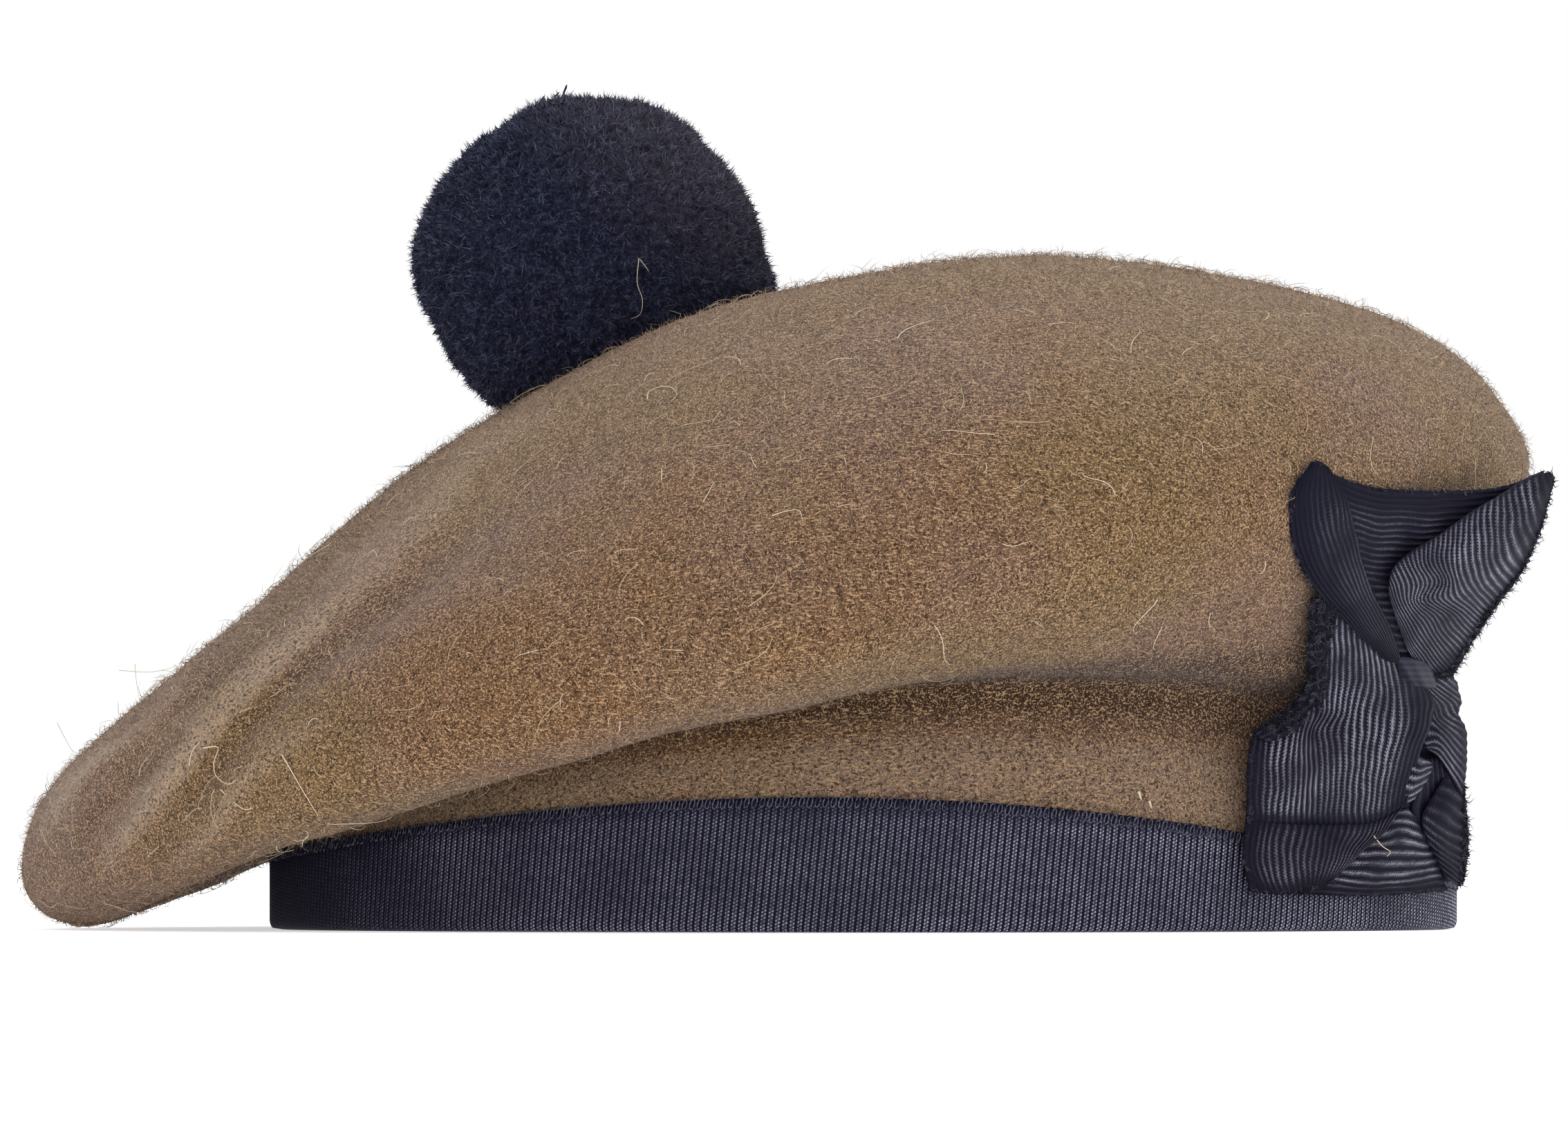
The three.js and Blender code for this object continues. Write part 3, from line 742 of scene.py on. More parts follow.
small_hairs = fibre_set("small_hairs", (
    (0.07, lying_path(3.5, 1.0, 0.6, 5)),
    (0.065, lying_path(5.0, -0.7, 0.9, 5)),
    (0.07, lying_path(2.8, 0.5, -1.6, 4)),
    (0.05, standing_path(3.2, 1.0, 0.3, 4)),
))
long_hairs = fibre_set("long_hairs", (
    (0.08, lying_path(8.0, 0.6, 0.8, 9)),
    (0.075, lying_path(11.0, -1.2, 1.6, 10)),
    (0.085, lying_path(6.5, 2.2, -2.0, 8)),
    (0.07, lying_path(9.5, 0.3, 2.4, 10)),
))
fuzz_wool = fibre_material(
    "felt_fuzz", (0.024, 0.013, 0.009), (0.136, 0.076, 0.041), (0.51, 0.36, 0.235), 0.1)
pale_hair = fibre_material(
    "pale_hair", (0.26, 0.17, 0.1), (0.46, 0.34, 0.22), (0.72, 0.6, 0.44), 0.1)
fuzz = grown("felt_fuzz", fuzz_base, fibre_tree, {
    "Fibres": short_fibres, "Density": 5.0e5, "Seed": 5, "Lean": 1.1, "Shortest": 0.5,
    "Longest": 1.2, "Clump Scale": 1300.0, "Finish": fuzz_wool})
fuzz_more = grown("felt_fuzz_more", fuzz_base, fibre_tree, {
    "Fibres": bent_fibres, "Density": 6.3e4, "Seed": 23, "Lean": 0.35, "Shortest": 0.5,
    "Longest": 1.1, "Clump Scale": 1300.0, "Finish": fuzz_wool})
small = grown("felt_small_hairs", fuzz_base, fibre_tree, {
    "Fibres": small_hairs, "Density": 2.1e4, "Seed": 31, "Lean": 0.2, "Shortest": 0.4,
    "Longest": 1.1, "Finish": pale_hair})
hairs = grown("felt_long_hairs", fuzz_base, fibre_tree, {
    "Fibres": long_hairs, "Density": 4.6e3, "Seed": 11, "Lean": 0.08, "Shortest": 0.5,
    "Longest": 1.1, "Finish": pale_hair})
dropped(fuzz_base)
for piece in (fuzz, fuzz_more, small, hairs):
    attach(piece, "root")

# Headband
# Dark corded ribbon folded round the edge of the felt and sewn through it. Its cords run up and
# down, leaning a little towards the bow.
band_ribbon = 1.0
band_height = 22.0
band_tops = (0.59, 0.38, 1)
band_inner_face = 2 * (band_ribbon + felt_clearance) + felt_thickness
rib_pitch = 1.22
rib_height = 0.13
band_lean = 0.11  # how far the cords lean towards the bow, as a share of their height


def oval_length(half_length, half_width):
    mixed_sides = (3 * half_length + half_width) * (half_length + 3 * half_width)
    return math.pi * (3 * (half_length + half_width) - math.sqrt(mixed_sides))


band_ribs = round(oval_length(band_half_length, band_half_width) / rib_pitch)
steps_per_rib = 4
band_columns = band_ribs * steps_per_rib
band_turn = np.arange(band_columns + 1) * 2 * math.pi / band_columns


def equal_arcs(turn, half_length, half_width):
    # Azimuths that stand at equal distances along an oval.
    fine_turn = np.linspace(0, 2 * math.pi, 4001)
    speed = np.hypot(half_length * np.sin(fine_turn), half_width * np.cos(fine_turn))
    walked = np.concatenate([[0], np.cumsum((speed[1:] + speed[:-1]) / 2)])
    return np.interp(turn / (2 * math.pi) * walked[-1], walked, fine_turn)


band_azimuth = equal_arcs(band_turn, band_half_length, band_half_width)
band_top = band_height * around(*band_tops, band_azimuth)
rib_wave = 0.5 - 0.5 * np.cos(band_turn * band_ribs)


def band_section(top):
    # Inset, height and share of the cords' relief at each corner of the folded ribbon's section.
    inner_top = top - 2
    outer = [(0.0, h, 1.0) for h in np.linspace(1.5, top - 0.6, 8)]
    flat_start = (band_inner_face + band_ribbon - 1.6) / 2
    section = [(flat_start, 0.0, 0.0), (0.5, 0.25, 0.3), (0.12, 0.8, 0.8), *outer]
    section += [(0.2, top - 0.15, 0.6), (0.5, top, 0.3), (0.9, top - 0.1, 0), (band_ribbon, top - 0.6, 0)]
    section += [(band_ribbon, 1.2, 0), (1.3, band_ribbon, 0), (band_inner_face - 0.3, band_ribbon, 0)]
    section += [(band_inner_face, 1.2, 0), (band_inner_face, inner_top - 0.3, 0)]
    section += [(band_inner_face + 0.3, inner_top, 0.2)]
    far = band_inner_face + band_ribbon
    section += [(far, h, 1.0) for h in np.linspace(inner_top - 0.6, 1.5, 3)]
    section += [(far - 0.12, 0.8, 0.8), (far - 0.5, 0.25, 0.3), (flat_start + 1.6, 0.0, 0.0)]
    return np.array(section)


band_points = []
band_reach = []
for azimuth, top, wave in zip(band_azimuth, band_top, rib_wave):
    section = band_section(top)
    inset, height, relief = section.T
    middle_inset = (band_inner_face + band_ribbon) / 2
    push = np.where(inset < middle_inset, 1.0, -1.0) * relief * rib_height * (wave - 1)
    inset = inset - push
    leaning = azimuth + band_lean * height / band_half_length
    band_points.append(np.stack([
        (band_half_length - inset) * np.cos(leaning),
        (band_half_width - inset) * np.sin(leaning),
        height], axis=1))
    edge = np.hypot(np.diff(section[:, 0]), np.diff(section[:, 1]))
    band_reach.append(np.concatenate([[0], np.cumsum(edge)]))
band_points = np.array(band_points)
band_reach = np.array(band_reach)
section_count = band_points.shape[1]


def closed_loops(columns, rows):
    # Faces of a ring whose section is closed, numbered section by section round the hat.
    faces = []
    for i in range(columns):
        after = (i + 1) % columns
        for k in range(rows):
            above = (k + 1) % rows
            faces.append((i * rows + k, after * rows + k, after * rows + above, i * rows + above))
    return faces


def set_map(made, name, values):
    layer = made.data.uv_layers.new(name=name)
    corners = np.empty(len(made.data.loops), dtype=np.int64)
    made.data.loops.foreach_get("vertex_index", corners)
    layer.data.foreach_set("uv", np.asarray(values, dtype=np.float32)[corners].ravel())
    return layer


pick_pitch = 0.6
band = mesh_object("ribbon_headband", to_row(band_points[:-1].reshape(-1, 3)),
                   closed_loops(band_columns, section_count))
band_rib_number = np.repeat(band_turn[:-1] * band_ribs / (2 * math.pi), section_count)
band_pick_number = (band_reach[:-1] / pick_pitch).reshape(-1)
band_map = set_map(band, "weave", np.stack([band_rib_number, band_pick_number], axis=1))
# The last rib's far side is the first rib's near side, so its map runs on instead of back.
corner_vertex = np.empty(len(band.data.loops), dtype=np.int64)
band.data.loops.foreach_get("vertex_index", corner_vertex)
corner_map = np.empty(len(band.data.loops) * 2, dtype=np.float32)
band_map.data.foreach_get("uv", corner_map)
corner_map = corner_map.reshape(-1, 2)
per_face = corner_map.reshape(-1, 4, 2)
wrapped = (per_face[:, :, 0].max(1) - per_face[:, :, 0].min(1)) > band_ribs / 2
per_face[wrapped, :, 0] += np.where(per_face[wrapped, :, 0] < 1, band_ribs, 0)
band_map.data.foreach_set("uv", per_face.reshape(-1))

# Corded ribbon: cords with a furrow between them, crossed by rows of small stitches. The crests of
# the cords and the stitches are painted lighter as painted highlights, unevenly, and the furrows keep
# the darkest colour as painted shade. The map counts cords across and stitches along.
cord_tree, cord_in, cord_out = group_tree(
    "corded weave", "ShaderNodeTree",
    (("Weave", "NodeSocketVector", None), ("Place", "NodeSocketVector", None),
     ("Furrow", "NodeSocketColor", (0.006, 0.006, 0.012, 1)),
     ("Painted Crest", "NodeSocketColor", (0.04, 0.038, 0.06, 1)),
     ("Painted Stitch Highlight", "NodeSocketColor", (0.22, 0.21, 0.27, 1)),
     ("Stitch Share", "NodeSocketFloat", 0.8), ("Painted Highlight Share", "NodeSocketFloat", 1.0),
     ("Crest Start", "NodeSocketFloat", 0.35)),
    (("Color", "NodeSocketColor"), ("Height", "NodeSocketFloat")))
cord_math = partial(math_node, cord_tree)
cord_range = partial(ranged, cord_tree)
split = shade(cord_tree, "ShaderNodeSeparateXYZ")
cord_tree.links.new(cord_in.outputs["Weave"], split.inputs[0])
rib_angle = cord_math("MULTIPLY", split.outputs["X"], 2 * math.pi)
rib_round = cord_math("MULTIPLY_ADD", cord_math("COSINE", rib_angle), -0.5, 0.5)
crest_gap = cord_math("ABSOLUTE", cord_math("SUBTRACT", rib_round, 0.6))
column = cord_math("MULTIPLY_ADD", crest_gap, -2.1, 1.0, True)
# Rows of stitches stand half a step apart on the two sides of a cord, and shift from cord to cord.
pick_angle = cord_math("MULTIPLY", split.outputs["Y"], 2 * math.pi)
pick_shift = cord_math("MULTIPLY_ADD", cord_math("SINE", rib_angle), math.pi / 2, pick_angle)
pick_shift = cord_math("MULTIPLY_ADD", cord_math("FLOOR", split.outputs["X"]), 0.9, pick_shift)
pick_round = cord_math("MULTIPLY_ADD", cord_math("COSINE", pick_shift), 0.5, 0.5)
stitch = product(cord_tree, cord_math("POWER", column, 1.5), cord_math("POWER", pick_round, 1.5))
# The painted highlights on the stitches and the crests of the cords are uneven.
cord_noise = partial(noise_value, cord_tree, cord_in.outputs["Weave"])
uneven = cord_noise(0.45, 2.0, 0.7, ((0, 0, 0), (2.2, 1.0, 1.0)))
broken = cord_noise(0.8, 2.0, 0.7, ((0, 0, 0), (1.6, 1.3, 1.0)), (7, 3, 0))
cloudy = noise_value(cord_tree, cord_in.outputs["Place"], 60.0, 3.0, 0.6)
crest = product(
    cord_tree, cord_range(rib_round, cord_in.outputs["Crest Start"], 0.99), cord_in.outputs["Painted Highlight Share"],
    cord_range(cloudy, 0.3, 0.7, 0.6, 1.05), cord_range(broken, 0.32, 0.62, 0.45, 1.1))
stitch_light = product(
    cord_tree, stitch, cord_range(uneven, 0.3, 0.64, 0.3, 1.0), cord_in.outputs["Stitch Share"],
    cord_range(cloudy, 0.3, 0.7, 0.6, 1.1), cord_in.outputs["Painted Highlight Share"])
cord_colour = layered(cord_tree, cord_in.outputs["Furrow"], (
    (crest, cord_in.outputs["Painted Crest"]), (stitch_light, cord_in.outputs["Painted Stitch Highlight"])))
cord_tree.links.new(cord_colour, cord_out.inputs["Color"])
cord_tree.links.new(cord_math("MULTIPLY_ADD", stitch, 0.6, rib_round), cord_out.inputs["Height"])


# The colours for the crests and the stitches are painted highlights; the furrow's colour is painted shade.
def ribbon_material(name, furrow, painted_crest, painted_highlight, stitch_share, crest_start, roughness, bump):
    made, shader = plain_material(name, roughness, 0.06)
    tree = made.node_tree
    group = shade(tree, "ShaderNodeGroup", node_tree=cord_tree)
    weave = shade(tree, "ShaderNodeUVMap", uv_map="weave")
    given = {
        "Weave": weave.outputs["UV"], "Place": object_place(tree), "Painted Highlight Share": point_value(tree, "painted_highlight_share"),
        "Furrow": (*furrow, 1), "Painted Crest": (*painted_crest, 1), "Painted Stitch Highlight": (*painted_highlight, 1),
        "Stitch Share": stitch_share, "Crest Start": crest_start}
    for label, value in given.items():
        feed(tree, group.inputs[label], value)
    tree.links.new(group.outputs["Color"], shader.inputs["Base Color"])
    set_relief(tree, shader, group.outputs["Height"], bump, 0.0001)
    return made


# Painted highlights: faint at the end under the lobe, which turns from the light, and strong at the
# other, which catches it; painted glints low on the ribbon, and painted shade under the edge loops.
band_across = band_half_length * np.cos(band_azimuth[:-1])
band_painted_highlight = 0.12 + 0.76 * smooth_step(-98, -62, band_across) + 0.6 * smooth_step(0, 60, band_across)
band_level = band_points[:-1, :, 2]
band_painted_glint = 0.3 * smooth_step(-75, -35, band_across)[:, None] * (1 - smooth_step(1.0, 5.0, band_level))
edge_shade = 1 - 0.95 * smooth_step(-2.8, -1.7, band_level - band_top[:-1, None])
set_value(band, "painted_highlight_share", ((band_painted_highlight[:, None] + band_painted_glint) * edge_shade).ravel())
band_cloth = ribbon_material("headband_grosgrain", (0.0058, 0.0052, 0.0165), (0.028, 0.028, 0.048),
                             (0.56, 0.55, 0.67), 1.0, 0.35, 0.6, 0.8)
band.data.materials.append(band_cloth)
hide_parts("headband")
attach(band, "root")

# Edge loops of the headband
# The ribbon's woven edge: one slanted loop of dark thread after another along its top, drawn
# tight against the felt.
loop_pitch = 1.3
loop_stand_off = 0.12
loop_count = round(oval_length(band_half_length, band_half_width) / loop_pitch)
loop_turn = np.arange(loop_count) * 2 * math.pi / loop_count
loop_azimuth = equal_arcs(loop_turn, band_half_length, band_half_width)
loop_out = np.stack([
    np.cos(loop_azimuth) / band_half_length, np.sin(loop_azimuth) / band_half_width], axis=1)
loop_out /= np.linalg.norm(loop_out, axis=1, keepdims=True)
loop_spots = np.stack([
    (band_half_length + loop_stand_off) * np.cos(loop_azimuth),
    (band_half_width + loop_stand_off) * np.sin(loop_azimuth),
    band_height * around(*band_tops, loop_azimuth) - 0.75], axis=1)
loop_rows = mesh_object("loop_rows", to_row(loop_spots), [])
facing_layer = loop_rows.data.attributes.new("facing", "FLOAT_VECTOR", "POINT")
facing_layer.data.foreach_set("vector", np.column_stack([loop_out, np.zeros(loop_count)]).ravel())
# The loops under the lobe are in its shade and darker.
set_value(loop_rows, "wear_and_painted_shading", 2.2 * smooth_step(-88, -35, loop_spots[:, 0]) - 2.2)


def loop_mesh(name, height, width, thickness):
    # A small slanted ring of thread, four-sided in section.
    points = []
    faces = []
    rings, sides = 8, 4
    for i in range(rings):
        turn = 2 * math.pi * i / rings
        centre = Vector((0, width / 2 * math.cos(turn), height / 2 * math.sin(turn)))
        centre.y += 0.25 * centre.z
        outward = Vector((0, math.cos(turn), math.sin(turn)))
        for k in range(sides):
            angle = 2 * math.pi * (k + 0.5) / sides
            offset = outward * math.cos(angle) + Vector((math.sin(angle), 0, 0))
            points.append((centre + offset * thickness / 2) * millimetre)
    for i in range(rings):
        for k in range(sides):
            a, b = i * sides + k, i * sides + (k + 1) % sides
            c, d = (b + sides) % (rings * sides), (a + sides) % (rings * sides)
            faces.append((a, d, c, b))
    return shape_object(name, points, faces)


def row_tree(name):
    # One copy of a shape on each point of a row, turned to the point's own facing.
    tree, given, result = group_tree(
        name, "GeometryNodeTree",
        (("Geometry", "NodeSocketGeometry", None), ("Shape", "NodeSocketObject", None),
         ("Unevenness", "NodeSocketFloat", 0.15), ("Seed", "NodeSocketInt", 1),
         ("Finish", "NodeSocketMaterial", None)),
        (("Geometry", "NodeSocketGeometry"),))
    link = tree.links.new
    shape = tree.nodes.new("GeometryNodeObjectInfo")
    link(given.outputs["Shape"], shape.inputs["Object"])
    facing = shade(tree, "GeometryNodeInputNamedAttribute", data_type="FLOAT_VECTOR")
    facing.inputs["Name"].default_value = "facing"
    turn = shade(tree, "FunctionNodeAlignRotationToVector", axis="X", pivot_axis="Z")
    link(facing.outputs[0], turn.inputs["Vector"])
    points = tree.nodes.new("GeometryNodeMeshToPoints")
    link(given.outputs["Geometry"], points.inputs["Mesh"])
    least = math_node(tree, "SUBTRACT", 1.0, given.outputs["Unevenness"])
    most = math_node(tree, "ADD", 1.0, given.outputs["Unevenness"])
    size = drawn_value(tree, given, "FLOAT", least, most)
    copies = copied(tree, points.outputs["Points"], shape.outputs["Geometry"], turn.outputs[0], size)
    finished(tree, copies.outputs["Instances"], given, result)
    return tree


edge_thread = wool_material(
    "edge_thread",
    ((0.075, 0.075, 0.105), (0.014, 0.014, 0.024), (0.14, 0.14, 0.18), (0.08, 0.078, 0.11),
     (0.06, 0.06, 0.09)),
    900.0, 60.0, 0.6, 0.0, (1, 1, 1, 1), 0.2)
loop = loop_mesh("edge_loop", 1.75, 0.8, 0.3)
band_edge = grown("headband_edge_loops", loop_rows, row_tree("loops in a row"), {
    "Shape": loop, "Unevenness": 0.12, "Seed": 4, "Finish": edge_thread})
dropped(loop_rows)
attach(band_edge, "root")

# Pompom
# Wool yarn wound, tied and cut, then clipped to a ball: short dense tufts round a hard core that
# is sewn down on the crown and settles on its felt.
felt_tree = BVHTree.FromObject(crown, bpy.context.evaluated_depsgraph_get())
ball = bmesh.new()
bmesh.ops.create_icosphere(ball, subdivisions=7, radius=1.0)
directions = np.array([vert.co for vert in ball.verts])
ball_faces = [tuple(vert.index for vert in face.verts) for face in ball.faces]
ball.free()
pompom_outline = (
    # degrees up from the bow's side, reach
    (0, 29.2), (25, 28), (42, 26.6), (58, 27.2), (85, 26.3), (100, 26.8), (125, 25.8), (150, 26.8),
    (180, 28.9), (210, 27.4), (238, 28.8), (265, 27), (300, 26), (330, 28.5), (349, 31.8),
)
pompom_seen = np.array([-46.5, 0, 113.1])
pompom_depth = 29.0
pile_rise = 0.3
outline_angles, outline_reach = np.array(pompom_outline).T
way_angle = np.degrees(np.arctan2(directions[:, 2], directions[:, 0])) % 360
reach = np.interp(way_angle, outline_angles, outline_reach, period=360) + pile_rise
flat_share = np.hypot(directions[:, 0], directions[:, 2])
deep_share = directions[:, 1] / (pompom_depth + pile_rise)
core_reach = 1 / np.sqrt((flat_share / reach) ** 2 + deep_share ** 2)
for i, way in enumerate(directions):
    spot = Vector(way)
    swell = 0.5 * noise.noise(spot * 4.2 + Vector((3, 1, 8)))
    nearest = noise.voronoi(spot * 15.0)[0][0]
    clump = 1.1 * (0.45 - nearest)
    strand = 0.3 * noise.noise(spot * 34.0)
    core_reach[i] += swell + clump + strand
core_points = to_row(directions * core_reach[:, None] + pompom_seen)
least = 0.4 * millimetre  # how far the yarn keeps from the felt
settled = []
for point in core_points:
    spot, normal, face, away = felt_tree.find_nearest(Vector(point))
    height = (Vector(point) - spot).dot(normal)
    settled.append(Vector(point) if height > least else spot + normal * least)
pompom = mesh_object("pompom_core", settled, ball_faces)
pompom_wool = wool_material(
    "pompom_yarn",
    ((0.01, 0.011, 0.028), (0.004, 0.0045, 0.012), (0.036, 0.038, 0.07), (0.013, 0.012, 0.024),
     (0.011, 0.014, 0.028)),
    900.0, 70.0, 0.95, 0.03, (0.5, 0.52, 0.65, 1), 0.9)
pompom.data.materials.append(pompom_wool)
# The side towards the bow and the light is painted a little lighter, as painted light.
pompom_painted_light = smooth_step(0.25, 0.95, directions @ np.array([0.62, -0.2, 0.76]))
set_value(pompom, "wear_and_painted_shading", 0.1 * pompom_painted_light)
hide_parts("pompom")
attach(pompom, "root")

tuft_fibres = fibre_set("tuft_fibres", (
    (0.17, standing_path(1.4, 0.3, 0.1, 1)),
    (0.2, standing_path(1.1, 0.2, -0.1, 1)),
    (0.14, standing_path(1.9, 0.5, 0.15, 1)),
))
tuft_wool = fibre_material(
    "pompom_tufts", (0.004, 0.0045, 0.012), (0.014, 0.0155, 0.038), (0.056, 0.061, 0.1), 0.05)
tufts = grown("pompom_tufts", pompom, fibre_tree, {
    "Fibres": tuft_fibres, "Density": 3.2e6, "Seed": 3, "Lean": 0.75, "Shortest": 0.5,
    "Longest": 1.15, "Clump Scale": 900.0, "Finish": tuft_wool})
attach(tufts, "root")

# Bow
# A flat bow of the same corded ribbon over the headband's seam, folded in leaves above and
# below a small knot and pinned down by stitches behind. Its cut edges fray a little.
bow_facing = math.radians(-43)
bow_outward = np.array([math.cos(bow_facing), math.sin(bow_facing), 0])
bow_along = np.array([-math.sin(bow_facing), math.cos(bow_facing), 0])
bow_azimuth = math.atan2(band_half_width * bow_outward[1], band_half_length * bow_outward[0])
bow_foot = np.array([band_half_length * math.cos(bow_azimuth), band_half_width * math.sin(bow_azimuth), 0])
bow_wrap = 200.0  # radius of the bow's own bend round the hat
knot_x = 105.24 - hat_middle[0]
knot_z = 43.56
bow_ribbon = 0.45
cloth_gap = 0.45

band_tree = BVHTree.FromObject(band, bpy.context.evaluated_depsgraph_get())
ray_reach = 80.0


def bow_point(along, stand_off, height):
    along = np.asarray(along, dtype=float)
    out = np.asarray(stand_off, dtype=float) - along**2 / (2 * bow_wrap)
    flat = bow_foot + along[..., None] * bow_along + out[..., None] * bow_outward
    return flat + np.asarray(height, dtype=float)[..., None] * np.array([0, 0, 1.0])


def cloth_behind(along, height):
    # How far the cloth behind a place of the bow stands out from the bow's foot.
    start = Vector(to_row(bow_point(along, ray_reach, max(height, 1.0))))
    most = 0.0
    for tree in (felt_tree, band_tree):
        spot, normal, face, away = tree.ray_cast(start, Vector(-bow_outward))
        if spot is not None:
            most = max(most, ray_reach - away / millimetre)
    return most


# How far the felt and the headband stand out under the bow at each height, smoothed.
base_heights = np.arange(2.0, 84.0, 1.5)
base_most = []
for height in base_heights:
    stretch = [cloth_behind(along, height) for along in np.linspace(-20, 34, 19)]
    base_most.append(max(stretch))
base_most = np.array(base_most)
base_near = np.array([max(base_most[max(0, i - 1):i + 2]) for i in range(len(base_most))])
base_smooth = np.convolve(np.pad(base_near, 2, mode="edge"), np.ones(5) / 5, mode="valid")
base_smooth = np.maximum(base_smooth, base_near - 0.3)

camera_across = view_middle[0] / millimetre - hat_middle[0]
camera_up = camera.location.z / millimetre
camera_away = camera_distance / millimetre


def bow_place(across, up, lift):
    # The tables give places as the camera sees them on the bonnet's middle plane, so nearer
    # points are drawn in towards the camera's own line.
    nearer = 1.0
    along = np.zeros(np.shape(across))
    for _ in range(8):
        height = camera_up + (knot_z + up - camera_up) * nearer
        x = camera_across + (knot_x + across - camera_across) * nearer - bow_foot[0]
        stand_off = np.interp(height, base_heights, base_smooth) + cloth_gap + bow_ribbon + lift
        along = (x - bow_outward[0] * (stand_off - along**2 / (2 * bow_wrap))) / bow_along[0]
        spot = bow_point(along, stand_off, height)
        nearer = 1 + spot[..., 1] / camera_away
    return spot


def resampled(points, count):
    # A smooth line through points on the first axis, read at equal steps.
    last = len(points) - 1
    line = np.concatenate([2 * points[:1] - points[1:2], points, 2 * points[-1:] - points[-2:-1]])
    place = np.linspace(0, last, count)
    start = np.minimum(place.astype(int), last - 1)
    share = (place - start).reshape(-1, *([1] * (points.ndim - 1)))
    a, b, c, d = (line[start + k] for k in range(4))
    return 0.5 * (2 * b + (c - a) * share + (2 * a - 5 * b + 4 * c - d) * share**2
                  + (3 * b - a - 3 * c + d) * share**3)


cord_pitch = 1.1
steps_per_cord = 6
step_along = 0.9
kinks = (
    # across and up of the middle, reach, how far the cords swing, how deep the cloth dips
    (2.6, 13.4, 3.6, 1.7, 1.5),
    (5.6, 10.6, 2.6, -0.9, 0.9),
    (-14.6, -8.6, 3.2, 0.9, 0.5),
    (-9, -28.6, 3.5, 0.8, 0.6),
    (6.2, -6.6, 2.8, 1.2, 0.8),
)


def ribbon_leaf(rows, cords, wrinkle):
    # One leaf of ribbon. Each row of the table follows a cord: across, up and lift.
    controls = np.array(rows, dtype=float)
    length = np.linalg.norm(np.diff(controls.mean(axis=0)[:, :2], axis=0), axis=1).sum()
    columns = max(6, round(length * 1.2 / step_along)) + 1
    surface = resampled(resampled(controls, cords * steps_per_cord + 1).transpose(1, 0, 2), columns)
    surface = surface.transpose(1, 0, 2)
    for r in range(surface.shape[0]):
        for c in range(surface.shape[1]):
            across, up, lift = surface[r, c]
            for middle, height, spread, swing, dip in kinks:
                aside = (up - height) / spread
                near = math.exp(-((across - middle) / spread) ** 2 - aside**2)
                surface[r, c, 0] += swing * near * math.sin(2.2 * aside)
                surface[r, c, 2] -= dip * near * math.cos(1.5 * aside) * min(1.0, lift / 3)
            crumple = noise.noise(Vector((across / 4.5, up / 4.5, wrinkle)))
            crumple += 0.5 * noise.noise(Vector((across / 2.2, up / 2.2, wrinkle + 5)))
            surface[r, c, 2] += 0.35 * crumple * min(1.0, lift / 1.5)
    points = bow_place(surface[:, :, 0], surface[:, :, 1], surface[:, :, 2])
    down = np.gradient(points, axis=0)
    side = np.gradient(points, axis=1)
    normal = np.cross(down, side)
    normal /= np.maximum(np.linalg.norm(normal, axis=2, keepdims=True), 1e-9)
    facing = (normal @ bow_outward).mean() > 0
    if not facing:
        normal = -normal
    cord_number = np.repeat(np.linspace(0, cords, points.shape[0])[:, None], points.shape[1], axis=1)
    for r, c in np.ndindex(cord_number.shape):
        spot = Vector((surface[r, c, 0] / 4.0, surface[r, c, 1] / 4.0, wrinkle + 2))
        cord_number[r, c] += 0.35 * noise.noise(spot) + 0.1 * noise.noise(spot * 3.5)
    wave = (0.5 - 0.5 * np.cos(2 * math.pi * cord_number))[:, :, None]
    front = points + normal * 0.14 * (wave - 0.5)
    back = points - normal * (bow_ribbon - 0.06 * wave)
    reach = np.concatenate([np.zeros((points.shape[0], 1)),
                            np.cumsum(np.linalg.norm(np.diff(points, axis=1), axis=2), axis=1)], axis=1)
    weave = np.stack([cord_number, reach / pick_pitch], axis=2)
    return front, back, weave, facing, reach


def slab_faces(deep, wide, first, behind):
    # Front, back and rim of a ribbon whose points stand in deep rows, each wide points long.
    faces = []
    for r in range(deep - 1):
        for c in range(wide - 1):
            a = r * wide + c
            quad = (a, a + wide, a + wide + 1, a + 1)
            faces.append(tuple(first + i for i in quad))
            faces.append(tuple(behind + i for i in quad[::-1]))
    rim = [*range(wide), *range(2 * wide - 1, deep * wide, wide)]
    rim += [*range(deep * wide - 2, (deep - 1) * wide - 1, -1), *range((deep - 2) * wide, 0, -wide)]
    for here, after in zip(rim, rim[1:] + rim[:1]):
        faces.append((first + here, first + after, behind + after, behind + here))
    return faces


